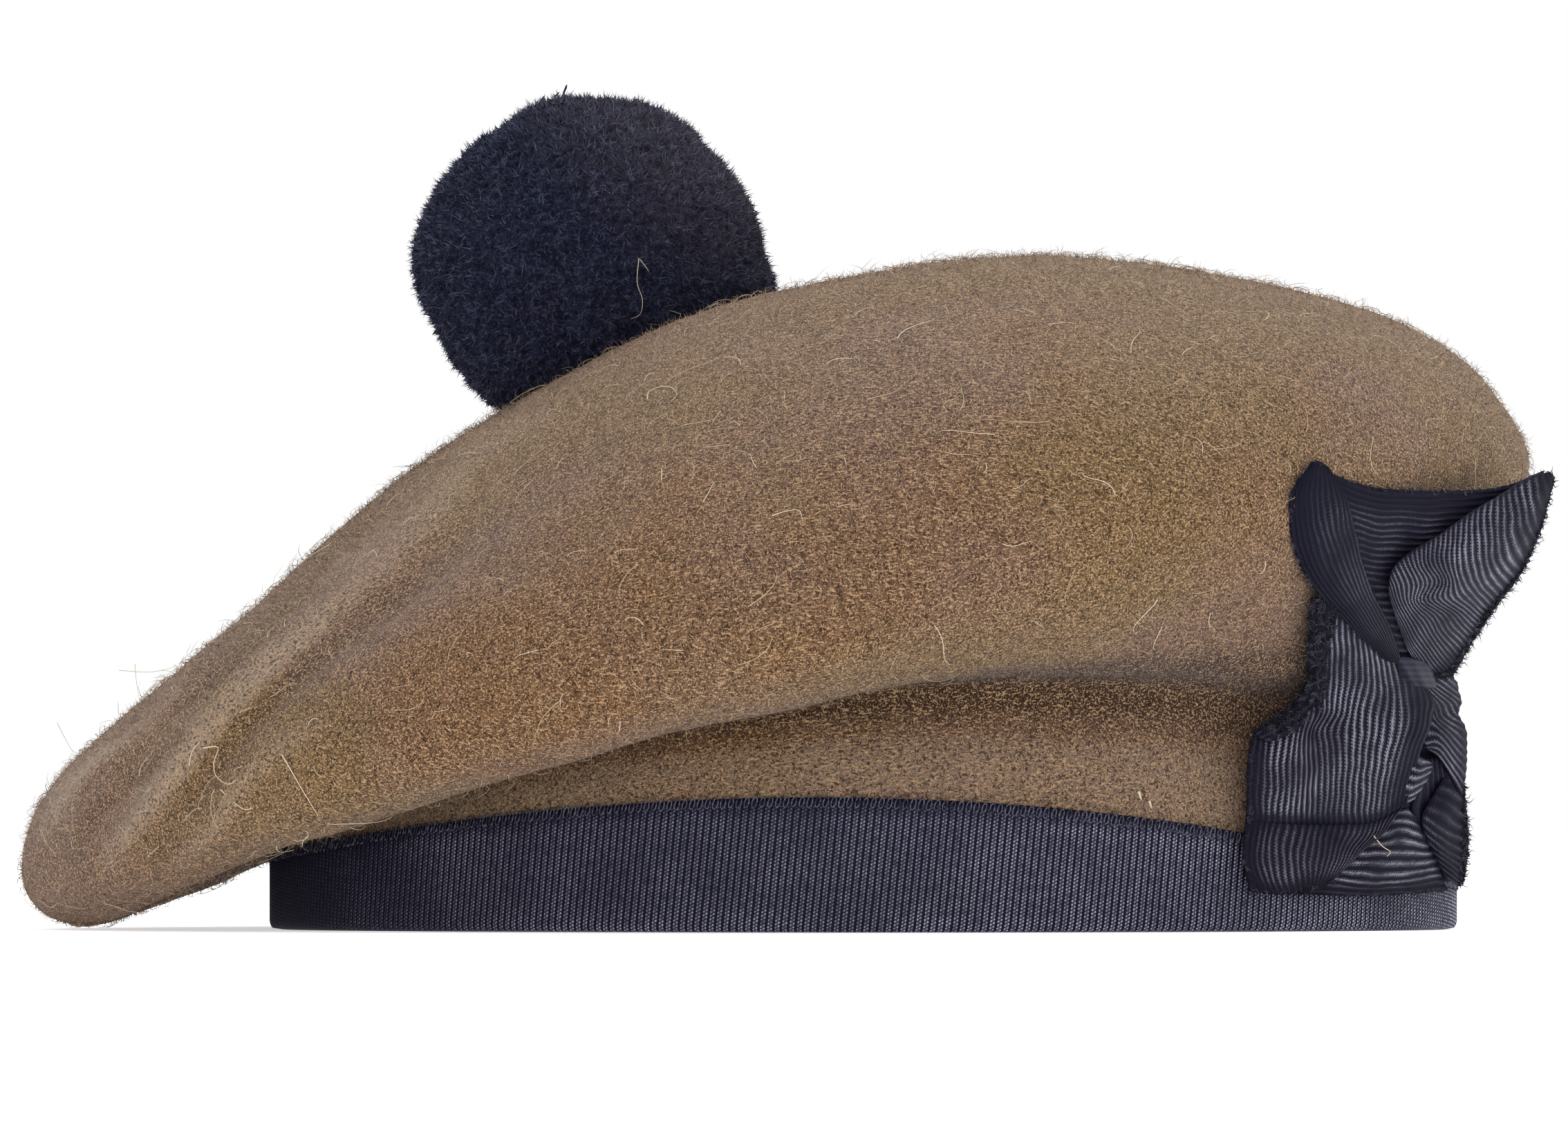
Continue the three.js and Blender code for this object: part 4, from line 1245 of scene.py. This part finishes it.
def bow_piece(name, leaves):
    # Each leaf is given with its cords, the strength of the highlights painted on it and the widths
    # of its borders, painted dull as painted shade, at its first cord, its last cord, and the near and far
    # ends of its cords.
    points = []
    weaves = []
    faces = []
    edges = []
    painted_highlight_shares = []
    for number, (cords, painted_highlight, borders, rows) in enumerate(leaves):
        front, back, weave, facing, reach = ribbon_leaf(rows, cords, number * 3.7 + len(leaves))
        down = np.maximum(weave[:, :, 0], 0) * cord_pitch
        away = (down, down[-1:] - down, reach, reach[:, -1:] - reach)
        painted_highlight_share = np.full(down.shape, float(painted_highlight))
        for border, distance in zip(borders, away):
            if border > 0:
                painted_highlight_share *= 0.08 + 0.92 * smooth_step(0.5 * border, 1.25 * border, distance)
        # The painted highlights come and go in patches, and the back of each leaf gets less of them.
        for r, c in np.ndindex(painted_highlight_share.shape):
            spot = Vector(front[r, c]) / 6.0 + Vector((number, 0, 4))
            painted_highlight_share[r, c] *= max(0.2, 0.85 + 0.9 * noise.noise(spot) + 0.4 * noise.noise(spot * 2.3))
        painted_highlight_shares += [painted_highlight_share.reshape(-1), 0.3 * painted_highlight_share.reshape(-1)]
        deep, wide = front.shape[:2]
        first = sum(len(part) for part in points)
        points += [front.reshape(-1, 3), back.reshape(-1, 3)]
        weaves += [weave.reshape(-1, 2), weave.reshape(-1, 2)]
        made = slab_faces(deep, wide, first, first + deep * wide)
        faces += made if facing else [face[::-1] for face in made]
        edges.append(front)
    made = mesh_object(name, to_row(np.concatenate(points)), faces)
    set_map(made, "weave", np.concatenate(weaves))
    set_value(made, "painted_highlight_share", np.concatenate(painted_highlight_shares))
    return made, edges


centre_leaf = (
    ((-14.4, 33.4, 0.4), (-6.3, 30.8, 0.3), (5.9, 30.3, 0.2), (15.3, 31, 0.3), (22.2, 33.7, 0.4)),
    ((-11.5, 27.3, 0.4), (-5.1, 25.5, 0.3), (5.9, 25.4, 0.2), (12.9, 26.1, 0.3), (18.8, 27.8, 0.4)),
    ((-9.8, 21.4, 0.4), (-5.7, 20.6, 0.3), (1.3, 20.3, 0.2), (5.9, 20.6, 0.3), (9.4, 21.4, 0.4)),
    ((-8.9, 16.2, 0.4), (-6.9, 15.6, 0.3), (-3.4, 15.3, 0.2), (-0.5, 15.6, 0.3), (2.4, 16.2, 0.4)),
    ((-6.3, 10.4, 0.4), (-5.1, 10.1, 0.3), (-3.4, 9.8, 0.2), (-1.6, 10.1, 0.3), (0.1, 10.4, 0.4)),
)
left_leaf = (
    ((-17.5, 34.6, 0.9), (-20.6, 30, 0.9), (-20.9, 25, 0.9), (-19.6, 19, 1), (-16.6, 13.6, 1.6),
     (-10.5, 7.2, 2.6), (-4.6, 1.6, 3.2)),
    ((-16.8, 35.3, 1.5), (-18.4, 30.4, 2), (-18.3, 25, 2.4), (-16.9, 19.2, 2.8), (-13.6, 13.2, 3.4),
     (-8.4, 6.8, 3.8), (-3.8, 1.4, 3.6)),
    ((-15.6, 35.2, 1.9), (-15.7, 30.6, 2.8), (-15.2, 25, 3.4), (-13.6, 19.2, 3.8), (-10.8, 13.2, 4.2),
     (-6.8, 7, 4.2), (-3, 1.2, 3.7)),
    ((-14.7, 34.6, 1.8), (-12.9, 30.2, 2.5), (-12.1, 24.8, 3), (-10.6, 18.8, 3.4), (-8.4, 13, 3.8),
     (-5.4, 7.2, 4), (-2.4, 1, 3.6)),
    ((-13.9, 33.8, 1.5), (-11.2, 29.2, 1.8), (-9.6, 23.8, 2.1), (-8.3, 17.6, 2.4), (-6.4, 12.6, 2.8),
     (-3.8, 7.4, 3.4), (-1.6, 0.6, 3.4)),
)
right_flap = (
    ((23.1, 33.5, 1.5), (23.5, 33.1, 1.5), (23.8, 32.8, 1.4), (24, 32.5, 1.2)),
    ((19.3, 32.5, 1.8), (19.6, 29.5, 2.4), (20.2, 26, 2.4), (21.4, 23.2, 1.6)),
    ((15.4, 30, 2.1), (15.4, 25.5, 3.2), (16, 20, 3.6), (18.4, 16.6, 1.8)),
    ((11.6, 27.8, 2.3), (11.4, 22.5, 4), (12.2, 16.5, 4.2), (15.4, 12.6, 1.9)),
    ((8, 25.4, 2.5), (7.6, 19.5, 4.6), (8.6, 14, 4.8), (13.2, 9.6, 2)),
    ((4.6, 23, 2.6), (4.6, 17, 4.9), (6.6, 12, 4.8), (11.6, 7.2, 2.2)),
    ((1.6, 21.2, 2.7), (2.2, 15.6, 4.9), (5.2, 9.6, 4.6), (9.9, 4.6, 2.4)),
    ((-1.2, 19.3, 2.8), (0.4, 13.6, 4.8), (3.6, 7.2, 4.4), (8.2, 1.6, 2.6)),
    ((-3.6, 16.8, 2.8), (-1.6, 11.6, 4.6), (2, 5, 4.2), (6.6, -0.8, 2.6)),
    ((-4.1, 13.6, 2.8), (-2.6, 9.4, 4.2), (0.4, 3.6, 3.8), (4.2, -1.4, 2.6)),
    ((-3.4, 11.2, 2.6), (-2.4, 7.4, 3.4), (-0.4, 2.4, 3.4), (2.6, -1.4, 2.6)),
)
throat = (
    ((-8, 15, 0.1), (-4, 14.4, 0.2), (1.5, 15, 0.4)),
    ((-7, 11, 1), (-3, 10.6, 1.4), (1.5, 11, 1.6)),
    ((-5, 7, 1.6), (-2, 6.6, 2), (2.5, 7, 2)),
    ((-3.4, 3, 2), (-0.6, 2.8, 2.4), (4, 3, 2.2)),
    ((-2.6, -1, 2.2), (0.2, -1.2, 2.6), (4.6, -1, 2.2)),
)
lower_panel = (
    ((-26.6, -9.8, 0.5), (-27.6, -14, 0.7), (-27.9, -18, 0.7), (-27.9, -22, 0.5), (-27.9, -25.4, 0.4)),
    ((-24, -10.2, 0.9), (-24.4, -14, 2), (-24.6, -18, 2.2), (-24.8, -22, 1.6), (-25, -25.6, 0.5)),
    ((-20.6, -8, 1.2), (-21, -12.4, 2.8), (-21.4, -17, 3), (-21.6, -21, 2.2), (-22, -25.8, 0.7)),
    ((-17, -3.4, 1.6), (-18.2, -10, 3), (-18.6, -15, 3.4), (-18.8, -20, 2.6), (-19.2, -25.9, 0.9)),
    ((-14.4, 9.4, 1.3), (-14.8, -3, 2.6), (-16.1, -10.4, 3.6), (-16.2, -17, 3.6), (-16.4, -25.9, 1)),
    ((-12, 9, 1.6), (-11.8, -1, 3), (-13.3, -9.6, 3.8), (-13.4, -16, 3.8), (-13.8, -25.9, 1.1)),
    ((-9.4, 7.6, 2), (-8.6, -1, 3.3), (-10.1, -9.6, 4), (-10.4, -16, 4), (-10.9, -25.9, 1.2)),
    ((-6.8, 5.4, 2.2), (-5.7, -1.4, 3.5), (-6.4, -9.6, 4.3), (-7.2, -16, 4.2), (-8.1, -25.7, 1.6)),
    ((-4, 3.4, 2.4), (-2.8, -2, 3.6), (-2.4, -9, 4.6), (-4, -16, 4.2), (-5.4, -25, 2)),
    ((-1.6, 1.4, 2.6), (0.6, -3, 3.6), (0.8, -8.6, 4.5), (-1.2, -15, 4.1), (-3, -23.6, 2.4)),
    ((0.2, -0.4, 2.6), (3.2, -4.4, 3.2), (3.6, -8, 4), (1.4, -13.5, 3.8), (-1, -22.5, 2.8)),
)
shoulder = (
    ((-17.2, 12, 0.7), (-17.8, 3, 0.9), (-18, -2.6, 1.1), (-21.6, -6.6, 1), (-26.8, -10.2, 0.7)),
    ((-15.4, 12, 1.6), (-16.2, 3, 2.1), (-16.4, -3.4, 2.4), (-20.2, -8, 2.3), (-25.8, -11.2, 1.7)),
    ((-12.4, 10.6, 2.2), (-14.4, 2.6, 2.7), (-15, -4.6, 2.9), (-18.6, -9.6, 2.9), (-24.4, -12, 2.3)),
)
turned_under = (
    ((-27.9, -24.6, 0.2), (-28.6, -31.3, 1.4), (-27.2, -37.4, 1)),
    ((-22.8, -24.8, 0.3), (-23.8, -31.5, 2.7), (-22, -37.8, 1.4)),
    ((-16.8, -25, 0.4), (-17.6, -31.5, 2.8), (-17.9, -37.1, 1.6)),
    ((-11.5, -25, 0.6), (-12.7, -31, 2.8), (-15.3, -36.8, 1.8)),
    ((-6.3, -24.6, 1), (-8.9, -30.4, 2.6), (-13.9, -35.6, 2)),
    ((-1.3, -22.5, 1.6), (-5.1, -27.5, 2.6), (-9.2, -31.6, 2.2)),
)
low_triangle = (
    ((-1.9, -23.4, 1), (-1, -23.1, 1.2), (-0.2, -23.7, 1)),
    ((-6.3, -27.5, 0.8), (-1.6, -27.2, 1.6), (1.9, -27.8, 1.2)),
    ((-10.4, -31.6, 0.8), (-4, -31.6, 2), (3.6, -31.3, 1.4)),
    ((-14.4, -35.1, 0.8), (-5.1, -35.6, 2), (4.8, -34.5, 1.4)),
    ((-19.7, -37.7, 0.6), (-6.9, -38, 1.2), (5.9, -37.1, 1)),
)
small_fold = (
    ((-1.6, -22.2, 2.2), (-1, -22.5, 2.4), (-0.2, -22.2, 2)),
    ((-1.9, -19.9, 2.6), (-0.5, -20.5, 3.2), (1.9, -19.3, 2.4)),
    ((-1, -17, 3), (0.7, -17.6, 3.8), (3.1, -16.7, 2.6)),
    ((0.4, -13.8, 3.2), (1.6, -14.7, 3.6), (3, -15.3, 2.8)),
)
hollow = (
    ((1.3, -15.3, 1.2), (0.4, -21.1, 0.6), (0.1, -24, 0.6), (3.6, -33.3, 0.8)),
    ((3.6, -14.7, 1.2), (4.2, -21.1, 0.2), (5.4, -28.1, 0.3), (6.5, -33.3, 0.6)),
    ((5.9, -14.7, 2), (7.1, -21.1, 1.6), (8.3, -28.1, 1.2), (8.9, -32.1, 1)),
)
right_strip = (
    ((3.8, 1, 2), (5.8, -0.4, 2.2), (7.6, -2, 1.4)),
    ((3.6, -2.2, 2.6), (5.9, -4.2, 2.6), (7.6, -5.9, 1.6)),
    ((2.2, -2.7, 2.8), (4.8, -5.9, 3.2), (8.9, -9.4, 1.8)),
    ((1.3, -3.6, 2.8), (4.8, -8.9, 3.6), (9.1, -13.5, 1.8)),
    ((1.9, -11.8, 2.4), (4.8, -12.3, 3.4), (8.9, -17.6, 1.8)),
    ((2.2, -13.2, 1.8), (4.8, -15.3, 2.6), (8.3, -21.1, 1.6)),
)
low_right_leaf = (
    ((6, -16.4, 1.2), (7.2, -17.2, 1.8), (8.6, -18.6, 1.4)),
    ((3.8, -20.4, 1), (6.4, -21.4, 2), (9, -23.2, 1.4)),
    ((1.7, -24, 1), (5, -25.8, 2.2), (9.4, -28, 1.4)),
    ((1.6, -26.8, 1), (4.6, -28.8, 2.5), (9.2, -31.6, 1.4)),
    ((2.6, -29.6, 1.1), (5.2, -31.4, 2.6), (8.8, -34, 1.4)),
    ((4, -32.4, 1), (6.2, -33.8, 2), (8.6, -35.6, 1.2)),
    ((5.4, -35, 1), (6.8, -35.8, 1.4), (7.8, -36.4, 1.1)),
)
core = (
    ((-3.5, 2, 1.4), (1, 2, 1.8), (6.4, 2, 1.4)),
    ((-3.5, -1.5, 1.6), (1, -1.5, 2), (7, -1.5, 1.5)),
    ((-3, -5, 1.6), (2, -5, 2), (7.3, -5.2, 1.4)),
    ((-2, -9, 1.2), (3, -9, 1.4), (7.8, -9, 1.2)),
)
backing = (
    ((-13, 6, 0), (-6, 3, 0), (0, 0, 0), (5, -4, 0)),
    ((-21, -8, 0), (-10, -9, 0), (1, -10, 0), (8, -12, 0)),
    ((-25.5, -19, 0), (-14, -20, 0), (-2, -20, 0), (8.4, -20, 0)),
    ((-25.5, -28, 0), (-14, -28, 0), (-2, -28, 0), (8.6, -28, 0)),
    ((-24, -36, 0), (-14, -36, 0), (-3, -36, 0), (7, -35.5, 0)),
)
bow_cloth = ribbon_material("bow_grosgrain", (0.006, 0.0056, 0.013), (0.195, 0.19, 0.24),
                            (0.48, 0.47, 0.56), 0.45, 0.76, 0.6, 0.6)
upper_bow, upper_fronts = bow_piece("ribbon_bow_upper", (
    (19, 0.24, (5.0, 0, 0, 6.0), centre_leaf),
    (12, 0.22, (6.0, 0, 7.0, 0), left_leaf),
    (12, 0.25, (0, 0, 0, 0), throat),
    (37, 0.85, (3.0, 0, 0.8, 5.0), right_flap)))
lower_bow, lower_fronts = bow_piece("ribbon_bow_lower", (
    (20, 0.1, (0, 0, 0, 0), backing),
    (7, 0.3, (0, 0, 0, 0), core),
    (29, 0.95, (3.4, 6.0, 1.2, 2.0), lower_panel),
    (3, 0.12, (0, 0, 0, 0), shoulder),
    (25, 0.5, (3.2, 0, 2.4, 3.0), turned_under),
    (10, 0.95, (0, 2.6, 0, 1.4), low_triangle),
    (6, 0.9, (0, 0, 0, 0), small_fold),
    (6, 0.1, (0, 0, 0, 0), hollow),
    (14, 0.75, (0, 0, 0, 1.6), right_strip),
    (12, 0.2, (0, 0, 0.8, 1.6), low_right_leaf)))


for piece, node in ((upper_bow, "bow_upper"), (lower_bow, "bow_lower")):
    piece.data.materials.append(bow_cloth)
    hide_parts(node)
    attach(piece, "root")

# Knot
# A short pinch of plain satin-backed ribbon that crosses the bow's middle and holds its leaves.
knot_half_length = 3.3
knot_half_width = 2.5
knot_rise = 2.6
knot_foot = 2.2  # how far its edges stand off the cloth, and its back below
knot_back_lift = 1.6
knot_across = np.linspace(-1, 1, 25)
knot_up = np.linspace(-1, 1, 19)
knot_grid = np.zeros((len(knot_up), len(knot_across), 3))
for r, up in enumerate(knot_up):
    for c, across in enumerate(knot_across):
        bulge = math.sqrt(max(0.0, 1 - across**2)) * (1 - 0.45 * up**2)
        pinch = 0.14 * math.sin(9 * across + 2 * up)
        knot_grid[r, c] = (
            0.5 + knot_half_length * across - 0.5 * up,
            -0.4 + knot_half_width * up * (1 - 0.25 * across**2) - 0.7 * across,
            knot_foot + knot_rise * bulge + pinch * bulge)
knot_front = bow_place(knot_grid[:, :, 0], knot_grid[:, :, 1], knot_grid[:, :, 2])
knot_back = bow_place(knot_grid[:, :, 0], knot_grid[:, :, 1], knot_grid[:, :, 2] * 0 + knot_back_lift)
deep, wide = knot_front.shape[:2]
knot_faces = [(face[0], *face[:0:-1]) for face in slab_faces(deep, wide, 0, deep * wide)]
knot_points = np.concatenate([knot_front.reshape(-1, 3), knot_back.reshape(-1, 3)])
knot = mesh_object("ribbon_knot", to_row(knot_points), knot_faces)
# The knot takes the painted highlights at full strength.
set_value(knot, "painted_highlight_share", np.ones(len(knot.data.vertices)))
set_map(knot, "weave", np.tile(knot_grid.reshape(-1, 3)[:, 1::-1], (2, 1)))
knot_cloth = ribbon_material("knot_ribbon", (0.016, 0.016, 0.027), (0.034, 0.034, 0.05),
                             (0.13, 0.13, 0.17), 0.2, 0.35, 0.5, 0.2)
knot.data.materials.append(knot_cloth)
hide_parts("bow_knot")
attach(knot, "root")

# Frayed edges of the bow
# The cut and folded edges of the ribbon have worn to a short dark fringe of thread ends.
fringe_edges = (
    # which leaves, number of the leaf, edge of the leaf
    (upper_fronts, 0, "first"),
    (upper_fronts, 1, "near"),
    (upper_fronts, 1, "first"),
    (upper_fronts, 3, "far"),
    (upper_fronts, 3, "first"),
    (lower_fronts, 2, "first"),
    (lower_fronts, 3, "first"),
    (lower_fronts, 3, "whole"),
    (lower_fronts, 4, "first"),
    (lower_fronts, 4, "far"),
    (lower_fronts, 5, "last"),
    (lower_fronts, 9, "far"),
)
fringe_points = []
fringe_faces = []
for fronts, number, side in fringe_edges:
    front = fronts[number]
    strip = {"first": front[:3:2], "last": front[-3::2], "near": front[:, :2].transpose(1, 0, 2),
             "far": front[:, -2:].transpose(1, 0, 2), "whole": front[::3]}[side]
    start = sum(len(part) for part in fringe_points)
    lines, count = strip.shape[:2]
    fringe_points.append(strip.reshape(-1, 3))
    for line in range(lines - 1):
        for i in range(start + line * count, start + (line + 1) * count - 1):
            fringe_faces.append((i, i + 1, i + count + 1, i + count))
fringe_base = mesh_object("fringe_base", to_row(np.concatenate(fringe_points)), fringe_faces)
fray_fibres = fibre_set("fray_fibres", (
    (0.13, standing_path(0.9, 0.8, 0.2, 2)),
    (0.1, standing_path(1.3, 1.0, -0.4, 2)),
    (0.16, standing_path(0.7, 0.3, 0.1, 2)),
))
fray_thread = fibre_material(
    "bow_fray", (0.006, 0.006, 0.011), (0.016, 0.015, 0.024), (0.07, 0.068, 0.09), 0.0)
fray = grown("bow_fray", fringe_base, fibre_tree, {
    "Fibres": fray_fibres, "Density": 1.1e7, "Seed": 17, "Lean": 1.6, "Shortest": 0.5,
    "Longest": 1.2, "Clump Scale": 900.0, "Finish": fray_thread})
dropped(fringe_base)
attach(fray, "root")

# Loose hairs and flecks
# The long pale hairs that catch the eye: a few lie curled on the felt, the pompom and the bow,
# some stand off the lobe's edge, and bits of straw stick to the wall. The clipping left a few
# ends of yarn on the pompom.
loose_threads = (
    # radius, then places across and up as the camera sees them
    (0.13, (-98, 29.4), (-96, 26), (-94, 22.6), (-91.6, 18.7)),
    (0.12, (-111.3, 30.5), (-108.7, 30.6), (-109.4, 28), (-109, 25.8), (-107, 24.4), (-105.3, 25.3)),
    (0.12, (-108.3, 23.5), (-104.6, 20.3), (-102.6, 20.5)),
    (0.1, (-113.6, 27.5), (-113, 30), (-111.4, 32)),
    (0.1, (-36.4, 89.2), (-36, 90.6), (-33.8, 91.4), (-32.3, 91.2), (-31.4, 90), (-32.7, 88.6)),
    (0.11, (-15.4, 69.6), (-13, 70.4), (-10.8, 70.5), (-10.2, 68.7)),
    (0.1, (-27, 71.9), (-26, 73.6), (-25.1, 75.4)),
    (0.07, (-37.8, 113), (-38.1, 109), (-37.2, 106), (-37.6, 103.6), (-39.4, 102.7)),
    (0.055, (-37.6, 112.8), (-36.8, 111.8), (-36, 110.6)),
    (0.07, (-135.8, 34.7), (-134.4, 32), (-133, 29.5)),
    (0.06, (-125.4, 43.6), (-120, 43.3), (-115.4, 44.3)),
    (0.06, (-122.7, 44.7), (-122.5, 42), (-122, 39)),
    (0.12, (86, 15.7), (87.4, 14), (88.8, 13), (88.2, 12.2)),
    (0.3, (46.4, 23.2), (46.9, 21.6)),
    (0.28, (48.2, 21.6), (48.6, 20.2)),
)
graph = bpy.context.evaluated_depsgraph_get()
seen_cloth = [(felt_tree, 0.9), (band_tree, 0.3)]  # each with the height that its pile takes
for piece, pile in ((pompom, 1.9), (upper_bow, 0.5), (lower_bow, 0.5)):
    seen_cloth.append((BVHTree.FromObject(piece, graph), pile))


def seen_place(across, up):
    # The nearest cloth behind a place of the view, or the middle plane where there is none.
    target = Vector(to_row((across, 0, up)))
    ray = (target - camera.location).normalized()
    nearest = None
    for tree, pile in seen_cloth:
        spot, normal, face, away = tree.ray_cast(camera.location, ray)
        if spot is not None and (nearest is None or away - pile * millimetre < nearest):
            nearest = away - pile * millimetre
    if nearest is None:
        return target
    return camera.location + ray * nearest


def seen_threads(name, table, finish, tone):
    points = []
    faces = []
    for radius, *seen in table:
        corners = np.array([seen_place(*place) for place in seen])
        path = [Vector(spot) / millimetre for spot in resampled(corners, 4 * (len(corners) - 1) + 1)]
        thread = thread_mesh("thread", path, radius)
        start = len(points)
        points += [vert.co.copy() for vert in thread.data.vertices]
        faces += [tuple(start + i for i in face.vertices) for face in thread.data.polygons]
    made = mesh_object(name, points, faces)
    set_value(made, "tone", np.full(len(points), tone))
    made.data.materials.append(finish)
    return made


loose = seen_threads("loose_threads", loose_threads, pale_hair, 0.85)
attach(loose, "root")
stray_yarn = (
    # radius, then places across and up as the camera sees them
    (0.34, (-50.9, 139), (-50.4, 140.8), (-49.9, 142.4)),
    (0.26, (-52.2, 138.9), (-51.9, 140.2), (-51.2, 141.1)),
    (0.26, (-54, 138.4), (-54.2, 139.6), (-53.6, 140.5)),
    (0.3, (-70.6, 102), (-71.6, 101.2), (-72.6, 100)),
    (0.26, (-73, 108), (-74.2, 107), (-75, 105.8)),
    (0.26, (-74, 112.6), (-75.2, 112), (-75.9, 111.2)),
)
stray = seen_threads("pompom_stray_yarn", stray_yarn, tuft_wool, 0.45)
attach(stray, "root")
